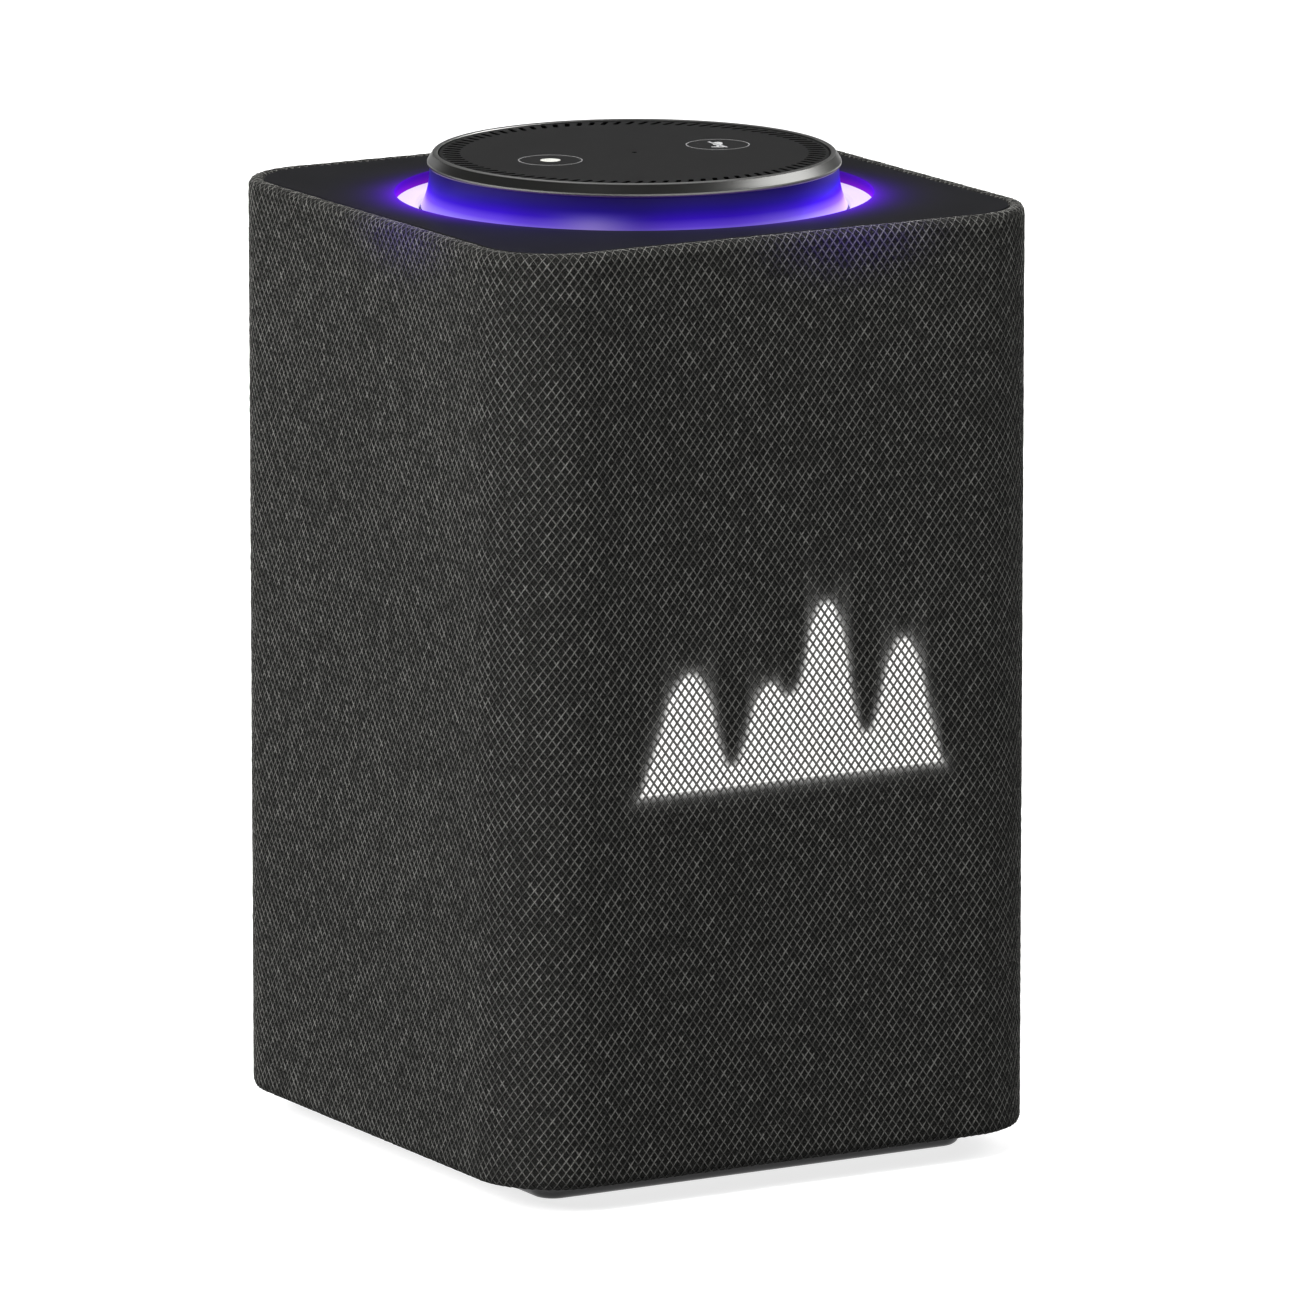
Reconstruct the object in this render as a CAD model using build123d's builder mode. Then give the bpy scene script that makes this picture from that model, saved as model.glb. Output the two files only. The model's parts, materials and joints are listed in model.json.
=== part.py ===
from build123d import *
import math
import os

# Smart speaker. Millimetres, +Z up, front faces -Y.
# The origin is at the middle of the foot's underside.

# ---- driving dimensions ----
body_width = 141.0            # knitted sleeve, both ways
body_corner = 20.0            # radius of the sleeve's upright corners
cloth = 1.0                   # thickness of the knitted sleeve
foot_height = 0.6
plinth_height = 5.3           # part of the plinth that shows under the sleeve
plinth_width = 112.6
plinth_corner = 5.7
sleeve_height = 214.6
rim_turn_in = 3.5             # sleeve turned in over the top edge
edge_round = 1.7              # rounding of the sleeve's top and bottom edges
deck_drop = 0.25              # deck below the sleeve's rim
deck_hole = 54.8              # radius of the round groove's outer wall
panel_radius = 44.8
pedestal_screw_circle = 12.0
control_top = 229.5           # crest of the metal ring
screw_gap = 0.1               # clearance round a screw's shank
large_screw = 1.5             # shank radius of the screws through the base and the top chassis
small_screw = 1.0             # shank radius of every other screw
large_screw_hole = large_screw + screw_gap
small_screw_hole = small_screw + screw_gap

# ---- levels, worked out from the driving dimensions ----
sleeve_base = foot_height + plinth_height
sleeve_top = sleeve_base + sleeve_height
deck_top = sleeve_top - deck_drop
deck_base = 217.6
frame_base = sleeve_base + cloth + 0.1
frame_top = sleeve_top - cloth
cover_top = frame_base + 3.0
box_base = cover_top
box_top = 206.0
chassis_top = box_top + 3.0
reflector_base = 211.5         # step of the top chassis, and seat of the pedestal's screws
panel_base = 226.6
panel_top = control_top - 0.4

# ---- half widths from outside to inside ----
sleeve_half = body_width / 2
sleeve_fit = 0.1              # gap between the sleeve and its frame
frame_half = sleeve_half - cloth - sleeve_fit
frame_wall = 2.0
inner_half = frame_half - frame_wall
inner_corner = body_corner - cloth - sleeve_fit - frame_wall
rim_half = sleeve_half - rim_turn_in
rim_corner = body_corner - rim_turn_in
deck_half = rim_half - 0.15
deck_corner = rim_corner - 0.15

# ---- loudspeaker box ----
box_half = 60.0               # half width across
box_front = -58.4
box_back = 50.0
box_wall = 3.0
baffle_front = 61.4           # distance of the front wall's outer face from the middle
woofer_z = 51.5
midrange_x = 31.0
midrange_z = 160.5
tweeter_x = 20.0
tweeter_z = 190.5
radiator_y = -5.0
radiator_z = 60.0
woofer_screw_circle = 36.6
radiator_screw_circle = 39.7

# ---- display ----
cells_across = 25
cells_up = 16
cell_pitch_x = 3.4
cell_pitch_z = 3.0
display_z = 115.5
display_width = 88.0
display_height = 49.0

# ---- rear connections ----
port_z = 34.0
port_panel_width = 71.6
port_panel_height = 39.6
port_face = 69.0
jack_bore = 1.8
power_x = -25.0
video_x = -6.0
network_x = 12.5
audio_x = 28.0
power_radius = 5.5
socket_width = 15.6           # video and network sockets
video_height = 6.6
network_height = 13.4
audio_radius = 3.4

# ---- control gear ----
gear_module = 1.0
ring_teeth = 80
pinion_teeth = 16
pressure_angle = math.radians(20)
encoder_x = gear_module * (ring_teeth - pinion_teeth) / 2
bearing_radius = 45.2         # bore of the skirt

pieces = {}


def square_block(half, corner, low, high, mode=Mode.ADD):
    """Upright square block with rounded corners, from one height to another."""
    with BuildSketch(Plane.XY.offset(low)) as outline:
        RectangleRounded(2 * half, 2 * half, corner)
    extrude(outline.sketch, amount=high - low, mode=mode)


def disc(radius, low, high, x=0.0, y=0.0, mode=Mode.ADD):
    """Upright cylinder from one height to another."""
    with BuildSketch(Plane((x, y, low))) as outline:
        Circle(radius)
    extrude(outline.sketch, amount=high - low, mode=mode)


def block(x_range, y_range, z_range, mode=Mode.ADD):
    """Box between pairs of low and high values."""
    middle_x = (x_range[0] + x_range[1]) / 2
    middle_y = (y_range[0] + y_range[1]) / 2
    with BuildSketch(Plane((middle_x, middle_y, z_range[0]))) as outline:
        Rectangle(x_range[1] - x_range[0], y_range[1] - y_range[0])
    extrude(outline.sketch, amount=z_range[1] - z_range[0], mode=mode)


def lathe(points, plane=Plane.XZ, mode=Mode.ADD):
    """Profile of radius and distance along the axis, turned about the plane's own Y axis."""
    with BuildSketch(plane) as profile:
        with BuildLine():
            Polyline(*points, close=True)
        make_face()
    revolve(profile.sketch, axis=Axis(plane.origin, plane.y_dir), mode=mode)


def front_plane(x, z):
    """Plane whose X is the radius and whose Y is the distance towards the front."""
    return Plane((x, 0, z), x_dir=(1, 0, 0), z_dir=(0, 0, -1))


def side_plane(side, y, z):
    """Plane whose X is the radius and whose Y is the distance towards one side."""
    return Plane((0, y, z), x_dir=(0, 0, 1), z_dir=(0, side, 0))


def front_face(distance, x=0.0, z=0.0):
    """Upright plane at a distance in front of the middle, facing the front."""
    return Plane((x, -distance, z), x_dir=(1, 0, 0), z_dir=(0, -1, 0))


def rear_face(distance, x=0.0, z=0.0):
    """Upright plane at a distance behind the middle, facing the back."""
    return Plane((x, distance, z), x_dir=(-1, 0, 0), z_dir=(0, 1, 0))


def cap_points(edge_radius, edge_level, rise, steps=8):
    """Points of a shallow dome from its edge to its crown on the axis."""
    sphere = (edge_radius ** 2 + rise ** 2) / (2 * rise)
    opening = math.asin(edge_radius / sphere)
    angles = [opening * (steps - step) / steps for step in range(steps + 1)]
    centre = edge_level + rise - sphere
    return [(sphere * math.sin(angle), centre + sphere * math.cos(angle)) for angle in angles]


def screw(place, shank_radius, shank_length, head_radius, head_height):
    """Screw whose shank runs back from the plane and whose head stands on it."""
    with BuildSketch(place) as head:
        Circle(head_radius)
    extrude(head.sketch, amount=head_height)
    with BuildSketch(place) as shank:
        Circle(shank_radius)
    extrude(shank.sketch, amount=-shank_length)


def involute_half_angle(radius, pitch_radius, thickness):
    """Half the angle of a tooth at a radius, for its thickness at the pitch circle."""
    base_radius = pitch_radius * math.cos(pressure_angle)
    angle = math.acos(min(1.0, base_radius / radius))
    at_pitch = math.tan(pressure_angle) - pressure_angle
    return thickness / (2 * pitch_radius) + at_pitch - (math.tan(angle) - angle)


def gear_outline(teeth, root_radius, tip_radius, thickness):
    """Outline of an involute gear with a tooth on the X axis."""
    pitch_radius = gear_module * teeth / 2
    base_radius = pitch_radius * math.cos(pressure_angle)
    start = max(base_radius, root_radius)
    radii = [start + (tip_radius - start) * step / 3 for step in range(4)]
    flank = [(r, involute_half_angle(r, pitch_radius, thickness)) for r in radii]
    if root_radius < base_radius:
        flank.insert(0, (root_radius, flank[0][1]))
    outline = []
    for tooth in range(teeth):
        middle = 2 * math.pi * tooth / teeth
        rising = [(r, middle - half) for r, half in flank]
        falling = [(r, middle + half) for r, half in reversed(flank)]
        for radius, angle in rising + falling:
            outline.append((radius * math.cos(angle), radius * math.sin(angle)))
    return outline


# ---- outside ----
foot_inset = 4.0
with BuildPart() as foot_pad:
    square_block(plinth_width / 2 - foot_inset, plinth_corner - 2.0, 0, foot_height)
pieces["foot_pad"] = foot_pad

plinth_floor = 3.2
plinth_wall = 3.0
base_screw_at = 45.0
with BuildPart() as base_plinth:
    square_block(plinth_width / 2, plinth_corner, foot_height, frame_base)
    fillet(base_plinth.faces().sort_by(Axis.Z)[0].edges(), 2.0)
    square_block(plinth_width / 2 - plinth_wall, plinth_corner - plinth_wall,
                 plinth_floor, frame_base, mode=Mode.SUBTRACT)
    with BuildSketch(Plane.XY.offset(plinth_floor)):
        with GridLocations(2 * base_screw_at, 2 * base_screw_at, 2, 2):
            Circle(5.0)
    extrude(amount=frame_base - plinth_floor)
    with BuildSketch(Plane.XY.offset(foot_height)):
        with GridLocations(2 * base_screw_at, 2 * base_screw_at, 2, 2):
            Circle(large_screw_hole)
    extrude(amount=frame_base - foot_height, mode=Mode.SUBTRACT)
    with BuildSketch(Plane.XY.offset(foot_height)):
        with GridLocations(2 * base_screw_at, 2 * base_screw_at, 2, 2):
            Circle(3.2)
    extrude(amount=2.0, mode=Mode.SUBTRACT)
pieces["base_plinth"] = base_plinth

port_cut_width = port_panel_width + 0.4
port_cut_height = port_panel_height + 0.4
port_corner = 6.0
sleeve_under_half = plinth_width / 2 + 2.7
with BuildPart() as sleeve_inside:
    square_block(sleeve_half - cloth, body_corner - cloth, sleeve_base + cloth, sleeve_top - cloth)
    fillet(sleeve_inside.faces().sort_by(Axis.Z)[-1].edges(), edge_round - cloth)
    fillet(sleeve_inside.faces().sort_by(Axis.Z)[0].edges(), edge_round - cloth)
with BuildPart() as fabric_sleeve:
    square_block(sleeve_half, body_corner, sleeve_base, sleeve_top)
    fillet(fabric_sleeve.faces().sort_by(Axis.Z)[-1].edges(), edge_round)
    fillet(fabric_sleeve.faces().sort_by(Axis.Z)[0].edges(), edge_round)
    add(sleeve_inside.part, mode=Mode.SUBTRACT)
    square_block(rim_half, rim_corner, sleeve_top - 2 * cloth, sleeve_top, mode=Mode.SUBTRACT)
    square_block(sleeve_under_half, plinth_corner + 2.7, sleeve_base, sleeve_base + 2 * cloth,
                 mode=Mode.SUBTRACT)
    with BuildSketch(rear_face(sleeve_half - 2 * cloth, z=port_z)):
        RectangleRounded(port_cut_width, port_cut_height, port_corner)
    extrude(amount=3 * cloth, mode=Mode.SUBTRACT)
pieces["fabric_sleeve"] = fabric_sleeve

lattice_pitch = 18.0
lattice_hole = 14.0
lattice_rows = 11
lattice_z = frame_base + (frame_top - frame_base) / 2
display_window_width = display_width + 2.0
display_window_height = display_height + 2.0
with BuildPart() as grille_frame:
    square_block(frame_half, body_corner - cloth - sleeve_fit, frame_base, frame_top)
    fillet(grille_frame.faces().sort_by(Axis.Z)[-1].edges(), edge_round - cloth)
    fillet(grille_frame.faces().sort_by(Axis.Z)[0].edges(), edge_round - cloth)
    square_block(inner_half, inner_corner, frame_base, frame_top, mode=Mode.SUBTRACT)
    with BuildSketch(Plane((0, 0, lattice_z), x_dir=(1, 0, 0), z_dir=(0, -1, 0))):
        with GridLocations(lattice_pitch, lattice_pitch, 6, lattice_rows):
            Rectangle(lattice_hole, lattice_hole)
    extrude(amount=sleeve_half, both=True, mode=Mode.SUBTRACT)
    with BuildSketch(Plane((0, 0, lattice_z), x_dir=(0, 1, 0), z_dir=(1, 0, 0))):
        with GridLocations(lattice_pitch, lattice_pitch, 6, lattice_rows):
            Rectangle(lattice_hole, lattice_hole)
    extrude(amount=sleeve_half, both=True, mode=Mode.SUBTRACT)
    with BuildSketch(front_face(inner_half - 1, z=display_z)):
        Rectangle(display_window_width, display_window_height)
    extrude(amount=frame_wall + 2, mode=Mode.SUBTRACT)
    with BuildSketch(rear_face(inner_half - 1, z=port_z)):
        RectangleRounded(port_cut_width, port_cut_height, port_corner)
    extrude(amount=frame_wall + 2, mode=Mode.SUBTRACT)
pieces["grille_frame"] = grille_frame

with BuildPart() as base_cover:
    square_block(inner_half - 0.2, inner_corner - 0.2, frame_base, cover_top)
    with BuildSketch(Plane.XY.offset(frame_base)):
        with GridLocations(2 * base_screw_at, 2 * base_screw_at, 2, 2):
            Circle(large_screw_hole)
    extrude(amount=cover_top - frame_base, mode=Mode.SUBTRACT)
pieces["base_cover"] = base_cover

deck_edge = 0.4
with BuildPart() as top_deck:
    square_block(deck_half, deck_corner, deck_base, deck_top)
    fillet(top_deck.faces().sort_by(Axis.Z)[-1].edges(), deck_edge)
    disc(deck_hole, deck_base, deck_top, mode=Mode.SUBTRACT)
    fillet(top_deck.edges().filter_by(GeomType.CIRCLE).group_by(Axis.Z)[-1].sort_by(SortBy.RADIUS)[-1],
           0.35)
pieces["top_deck"] = top_deck

# ---- light under the deck ----
with BuildPart() as top_chassis:
    square_block(inner_half - 1.0, inner_corner - 1.0, box_top, chassis_top)
    square_block(inner_half - 1.0, inner_corner - 1.0, chassis_top, deck_base - 0.1)
    square_block(inner_half - 3.0, inner_corner - 3.0, chassis_top, deck_base, mode=Mode.SUBTRACT)
    disc(58.5, chassis_top, reflector_base)
    disc(49.0, chassis_top, reflector_base, mode=Mode.SUBTRACT)
    disc(9.0, box_top, chassis_top, mode=Mode.SUBTRACT)
    chassis_screw_points = [(-50, -45), (50, -45), (-50, 40), (50, 40)]
    with BuildSketch(Plane.XY.offset(box_top)):
        with Locations(*chassis_screw_points):
            Circle(large_screw_hole)
        with PolarLocations(pedestal_screw_circle, 3):
            Circle(small_screw_hole)
    extrude(amount=chassis_top - box_top, mode=Mode.SUBTRACT)
pieces["top_chassis"] = top_chassis

ring_board_base = reflector_base + 0.6
ring_board_top = ring_board_base + 1.4
with BuildPart() as light_reflector:
    lathe([(49.5, reflector_base), (58.4, reflector_base), (58.4, 215.9), (57.6, 215.9),
           (57.6, ring_board_base), (50.3, ring_board_base), (50.3, 215.9), (49.5, 215.9)])
pieces["light_reflector"] = light_reflector

with BuildPart() as led_ring_board:
    lathe([(50.4, ring_board_base), (57.5, ring_board_base),
           (57.5, ring_board_top), (50.4, ring_board_top)])
pieces["led_ring_board"] = led_ring_board

ring_led_count = 24
with BuildPart() as ring_leds:
    with BuildSketch(Plane.XY.offset(ring_board_top)):
        with PolarLocations(53.9, ring_led_count):
            Rectangle(3.5, 3.5)
    extrude(amount=1.4)
pieces["ring_leds"] = ring_leds

with BuildPart() as light_ring:
    lathe([(49.6, 216.0), (58.4, 216.0), (58.4, deck_base - 0.1), (50.2, deck_base - 0.1),
           (49.6, 217.0)])
pieces["light_ring"] = light_ring

# ---- fixed middle of the control ----
flange_top = 225.0
flange_base = 222.6
column_radius = 20.0
with BuildPart() as panel_pedestal:
    lathe([(9.0, chassis_top), (column_radius, chassis_top), (column_radius, flange_base),
           (44.2, flange_base), (44.2, flange_top), (36.0, flange_top), (36.0, 223.5),
           (21.0, 223.5), (21.0, flange_top), (15.0, flange_top), (15.0, reflector_base),
           (9.0, reflector_base)])
    with BuildSketch(Plane.XY.offset(chassis_top)):
        with PolarLocations(pedestal_screw_circle, 3):
            Circle(small_screw_hole)
    extrude(amount=2.5, mode=Mode.SUBTRACT)
pieces["panel_pedestal"] = panel_pedestal

glide_gap = 0.08
with BuildPart() as glide_ring:
    lathe([(44.25, 222.8), (bearing_radius - glide_gap, 222.8),
           (bearing_radius - glide_gap, 224.8), (44.25, 224.8)])
pieces["glide_ring"] = glide_ring

with BuildPart() as touch_board:
    disc(42.6, flange_top, panel_base)
pieces["touch_board"] = touch_board

microphone_base = 223.9
with BuildPart() as microphones:
    with BuildSketch(Plane.XY.offset(microphone_base)):
        with PolarLocations(28.5, 6):
            Rectangle(2.6, 3.5)
    extrude(amount=flange_top - microphone_base)
pieces["microphones"] = microphones

slot_count = 88
slot_inner = 39.7
slot_outer = 44.1
slot_width = 1.2
slot_slant = 22.0
pinhole_radius = 0.65
slot_depth = 1.5
with BuildPart() as touch_panel:
    disc(panel_radius, panel_base, panel_top)
    chamfer(touch_panel.faces().sort_by(Axis.Z)[-1].edges(), 0.2)
    with BuildSketch(Plane.XY.offset(panel_top - slot_depth)):
        with PolarLocations((slot_inner + slot_outer) / 2, slot_count):
            SlotOverall(slot_outer - slot_inner, slot_width, rotation=-slot_slant)
        Circle(pinhole_radius)
    extrude(amount=slot_depth, mode=Mode.SUBTRACT)
pieces["touch_panel"] = touch_panel

# ---- turning ring ----
with BuildPart() as volume_ring:
    lathe([(43.0, 225.1), (45.15, 225.1), (45.15, 226.45), (47.2, 226.45), (47.45, 226.75),
           (47.45, 227.35), (47.2, 227.7), (46.25, 229.25), (45.85, control_top),
           (45.25, control_top), (45.0, 229.25), (45.0, 226.5), (43.0, 226.5)])
pieces["volume_ring"] = volume_ring

skirt_base = 216.9
skirt_top = 226.4
with BuildPart() as ring_skirt:
    with BuildSketch(Plane.XZ):
        with BuildLine():
            Polyline((48.9, skirt_base), (bearing_radius, skirt_base),
                     (bearing_radius, skirt_top), (46.9, skirt_top))
            Spline((46.9, skirt_top), (47.15, 222.5), (48.9, skirt_base),
                   tangents=[(0, -1), (0.55, -1)])
        make_face()
    revolve(axis=Axis.Z)
pieces["ring_skirt"] = ring_skirt

gear_base = 218.2
gear_top = 222.3
half_pitch = math.pi * gear_module / 2
backlash = 0.16
with BuildPart() as ring_gear:
    disc(bearing_radius - 0.05, gear_base, gear_top)
    with BuildSketch(Plane.XY.offset(gear_base)):
        with BuildLine():
            Polyline(*gear_outline(ring_teeth, 39.2, 41.25, half_pitch + backlash / 2), close=True)
        make_face()
    extrude(amount=gear_top - gear_base, mode=Mode.SUBTRACT)
pieces["ring_gear"] = ring_gear

with BuildPart() as encoder_pinion:
    with BuildSketch(Plane((encoder_x, 0, gear_base + 0.3))):
        with BuildLine():
            Polyline(*gear_outline(pinion_teeth, 6.8, 8.9, half_pitch - backlash / 2), close=True)
        make_face()
        Circle(2.0, mode=Mode.SUBTRACT)
    extrude(amount=gear_top - gear_base - 0.6)
pieces["encoder_pinion"] = encoder_pinion

encoder_bore_base = 211.5
encoder_top = 216.5
with BuildPart() as encoder_shaft:
    disc(1.98, encoder_bore_base + 0.1, gear_top - 0.1, x=encoder_x)
pieces["encoder_shaft"] = encoder_shaft

with BuildPart() as encoder_body:
    block((encoder_x - 6, encoder_x + 6), (-6, 6), (chassis_top, 214.0))
    disc(3.2, 214.0, encoder_top, x=encoder_x)
    disc(2.05, encoder_bore_base, encoder_top, x=encoder_x, mode=Mode.SUBTRACT)
pieces["encoder_body"] = encoder_body

# ---- loudspeaker box ----
boss_radius = 4.0
baffle_screw_x = 56.6
baffle_screw_heights = (24.0, 78.0, 132.0, 194.0)
with BuildPart() as enclosure_shell:
    block((-box_half, box_half), (box_front, box_back), (box_base, box_top))
    fillet(enclosure_shell.edges().filter_by(Axis.Z).group_by(Axis.Y)[-1], 10.0)
    block((-54, 54), (box_front, box_front + 6), (box_base + 6, box_top - box_wall), mode=Mode.SUBTRACT)
    block((-57, 57), (box_front + 6, box_back - box_wall), (box_base + box_wall, box_top - box_wall),
          mode=Mode.SUBTRACT)
    with BuildSketch(Plane.XY.offset(box_base)):
        with GridLocations(2 * base_screw_at, 2 * base_screw_at, 2, 2):
            Circle(boss_radius)
    extrude(amount=9.0)
    with BuildSketch(Plane.XY.offset(box_top - 10)):
        with Locations(*chassis_screw_points):
            Circle(boss_radius)
    extrude(amount=10.0)
    with BuildSketch(Plane.XY.offset(box_base)):
        with GridLocations(2 * base_screw_at, 2 * base_screw_at, 2, 2):
            Circle(large_screw_hole)
    extrude(amount=8.0, mode=Mode.SUBTRACT)
    with BuildSketch(Plane.XY.offset(box_top - 9)):
        with Locations(*chassis_screw_points):
            Circle(large_screw_hole)
    extrude(amount=9.0, mode=Mode.SUBTRACT)
    with BuildSketch(front_face(-box_front)):
        for height in baffle_screw_heights:
            with Locations((-baffle_screw_x, height), (baffle_screw_x, height)):
                Circle(small_screw_hole)
    extrude(amount=-5.0, mode=Mode.SUBTRACT)
    with BuildSketch(Plane((0, radiator_y, radiator_z), x_dir=(0, 1, 0), z_dir=(1, 0, 0))):
        Circle(37.5)
        with PolarLocations(radiator_screw_circle, 4, start_angle=45):
            Circle(small_screw_hole)
    extrude(amount=box_half, both=True, mode=Mode.SUBTRACT)
pieces["enclosure_shell"] = enclosure_shell

with BuildPart() as enclosure_baffle:
    block((-box_half, box_half), (-baffle_front, box_front), (box_base, box_top))
    with BuildSketch(front_face(-box_front)):
        with Locations((0, woofer_z)):
            Circle(34.4)
            with PolarLocations(woofer_screw_circle, 4, start_angle=45):
                Circle(small_screw_hole)
        with Locations((-midrange_x, midrange_z), (midrange_x, midrange_z)):
            Circle(16.5)
        with Locations((-tweeter_x, tweeter_z), (tweeter_x, tweeter_z)):
            Circle(11.5)
        for height in baffle_screw_heights:
            with Locations((-baffle_screw_x, height), (baffle_screw_x, height)):
                Circle(small_screw_hole)
    extrude(amount=baffle_front + box_front, mode=Mode.SUBTRACT)
pieces["enclosure_baffle"] = enclosure_baffle

# ---- woofer ----
woofer_plane = front_plane(0, woofer_z)
with BuildPart() as woofer_basket:
    lathe([(33.5, 63.4), (38.4, 63.4), (38.4, 61.4), (34.3, 61.4), (34.3, 58.2), (25.7, 32.0),
           (14.5, 32.0), (14.5, 33.2), (24.7, 33.2), (33.5, 58.4)], woofer_plane)
    with BuildSketch(front_face(36.0, z=woofer_z)):
        Rectangle(13, 76)
        Rectangle(76, 13)
    extrude(amount=18.0, mode=Mode.SUBTRACT)
    with BuildSketch(front_face(baffle_front, z=woofer_z)):
        with PolarLocations(woofer_screw_circle, 4, start_angle=45):
            Circle(small_screw_hole)
    extrude(amount=2.0, mode=Mode.SUBTRACT)
pieces["woofer_basket"] = woofer_basket

with BuildPart() as woofer_magnet:
    lathe([(0, 12), (24, 12), (24, 31.9), (13.4, 31.9), (13.4, 16), (11.4, 16), (11.4, 31.9), (0, 31.9)],
          woofer_plane)
pieces["woofer_magnet"] = woofer_magnet


def half_roll(inner, outer, level, rise, thickness):
    """Profile of a rubber half roll between two radii."""
    middle = (inner + outer) / 2
    ThreePointArc((inner, level), (middle, level + rise), (outer, level))
    Line((outer, level), (outer - thickness, level))
    ThreePointArc((outer - thickness, level), (middle, level + rise - thickness), (inner + thickness, level))
    Line((inner + thickness, level), (inner, level))


with BuildPart() as woofer_surround:
    with BuildSketch(woofer_plane):
        with BuildLine():
            half_roll(28.7, 33.4, 61.4, 2.6, 0.8)
        make_face()
    revolve(axis=Axis(woofer_plane.origin, woofer_plane.y_dir))
pieces["woofer_surround"] = woofer_surround

with BuildPart() as woofer_spider:
    lathe([(13.0, 38.0), (15.5, 39.0), (18.0, 38.0), (20.5, 39.0), (23.0, 38.0), (26.0, 38.6),
           (26.0, 39.2), (23.0, 38.6), (20.5, 39.6), (18.0, 38.6), (15.5, 39.6), (13.0, 38.6)],
          woofer_plane)
pieces["woofer_spider"] = woofer_spider

with BuildPart() as woofer_cone:
    lathe([(12.65, 46.0), (28.3, 60.6), (28.3, 61.6), (27.4, 61.2), (12.65, 47.4)], woofer_plane)
pieces["woofer_cone"] = woofer_cone

with BuildPart() as woofer_voice_coil:
    lathe([(12.0, 22.0), (12.6, 22.0), (12.6, 48.4), (12.0, 48.4)], woofer_plane)
pieces["woofer_voice_coil"] = woofer_voice_coil

with BuildPart() as woofer_dust_cap:
    lathe(cap_points(12.6, 48.5, 4.0) + cap_points(11.8, 48.5, 3.4)[::-1], woofer_plane)
pieces["woofer_dust_cap"] = woofer_dust_cap

# ---- midrange drivers and tweeters, one of each a side ----
with BuildPart() as midrange_frames:
    for x in (-midrange_x, midrange_x):
        lathe([(13.4, 62.6), (14.2, 63.2), (19.4, 63.2), (19.4, 61.4), (16.4, 61.4), (14.6, 48.0),
               (6.0, 48.0), (6.0, 49.0), (13.8, 49.0), (15.4, 60.6), (13.4, 60.6)],
              front_plane(x, midrange_z))
pieces["midrange_frames"] = midrange_frames

with BuildPart() as midrange_magnets:
    for x in (-midrange_x, midrange_x):
        lathe([(0, 38), (10, 38), (10, 47.9), (5.0, 47.9), (5.0, 40), (3.5, 40), (3.5, 47.9), (0, 47.9)],
              front_plane(x, midrange_z))
pieces["midrange_magnets"] = midrange_magnets

with BuildPart() as midrange_chambers:
    for x in (-midrange_x, midrange_x):
        lathe([(18.6, -box_front), (20.4, -box_front), (20.4, 32), (0, 32), (0, 33.8), (18.6, 33.8)],
              front_plane(x, midrange_z))
pieces["midrange_chambers"] = midrange_chambers

with BuildPart() as tweeter_bodies:
    for x in (-tweeter_x, tweeter_x):
        lathe([(0, 50), (11.4, 50), (11.4, 61.4), (12.3, 61.4), (12.3, 62.6), (9.8, 62.6),
               (9.8, 54.5), (8.4, 54.5), (8.4, 60.4), (0, 60.4)], front_plane(x, tweeter_z))
pieces["tweeter_bodies"] = tweeter_bodies

for side, name in ((-1, "left"), (1, "right")):
    cone_plane = front_plane(side * midrange_x, midrange_z)
    with BuildPart() as midrange_cone:
        lathe([(3.9, 43.5), (4.5, 43.5), (4.5, 53.6), (13.1, 60.4), (13.1, 61.4), (4.0, 54.6),
               (0, 55.6), (0, 55.0), (3.9, 54.0)], cone_plane)
    pieces[f"{name}_midrange_cone"] = midrange_cone

    with BuildPart() as tweeter_dome:
        lathe([(8.8, 56.0), (9.4, 56.0)] + cap_points(9.4, 62.2, 3.4) + cap_points(8.8, 61.9, 3.1)[::-1],
              front_plane(side * tweeter_x, tweeter_z))
    pieces[f"{name}_tweeter_dome"] = tweeter_dome

    bass_plane = side_plane(side, radiator_y, radiator_z)
    with BuildPart() as radiator:
        lathe([(0, 53), (7, 53), (7, 58.6), (30.0, 58.6), (30.0, 60.6), (28.5, 60.6), (27.0, 60.0),
               (12.0, 60.0), (10.0, 60.8), (0, 60.8)], bass_plane)
    pieces[f"{name}_radiator"] = radiator

with BuildPart() as radiator_frames:
    for side in (-1, 1):
        lathe([(36.0, 57.2), (37.4, 57.2), (37.4, 60.0), (42.0, 60.0), (42.0, 62.0), (36.0, 62.0)],
              side_plane(side, radiator_y, radiator_z))
    with BuildSketch(Plane((0, radiator_y, radiator_z), x_dir=(0, 1, 0), z_dir=(1, 0, 0))):
        with PolarLocations(radiator_screw_circle, 4, start_angle=45):
            Circle(small_screw_hole)
    extrude(amount=box_half + 3, both=True, mode=Mode.SUBTRACT)
pieces["radiator_frames"] = radiator_frames

with BuildPart() as radiator_surrounds:
    for side in (-1, 1):
        bass_plane = side_plane(side, radiator_y, radiator_z)
        with BuildSketch(bass_plane):
            with BuildLine():
                half_roll(30.3, 35.95, 59.6, 3.0, 0.8)
            make_face()
        revolve(axis=Axis(bass_plane.origin, bass_plane.y_dir))
pieces["radiator_surrounds"] = radiator_surrounds

# ---- display behind the cloth ----
with BuildPart() as display_board:
    with BuildSketch(front_face(baffle_front, z=display_z)):
        Rectangle(display_width, display_height)
    extrude(amount=1.6)
pieces["display_board"] = display_board

with BuildPart() as display_light_grid:
    with BuildSketch(front_face(baffle_front + 1.6, z=display_z)):
        Rectangle(display_width, display_height)
        with GridLocations(cell_pitch_x, cell_pitch_z, cells_across, cells_up):
            Rectangle(cell_pitch_x - 0.6, cell_pitch_z - 0.6, mode=Mode.SUBTRACT)
    extrude(amount=4.2)
pieces["display_light_grid"] = display_light_grid

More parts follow.
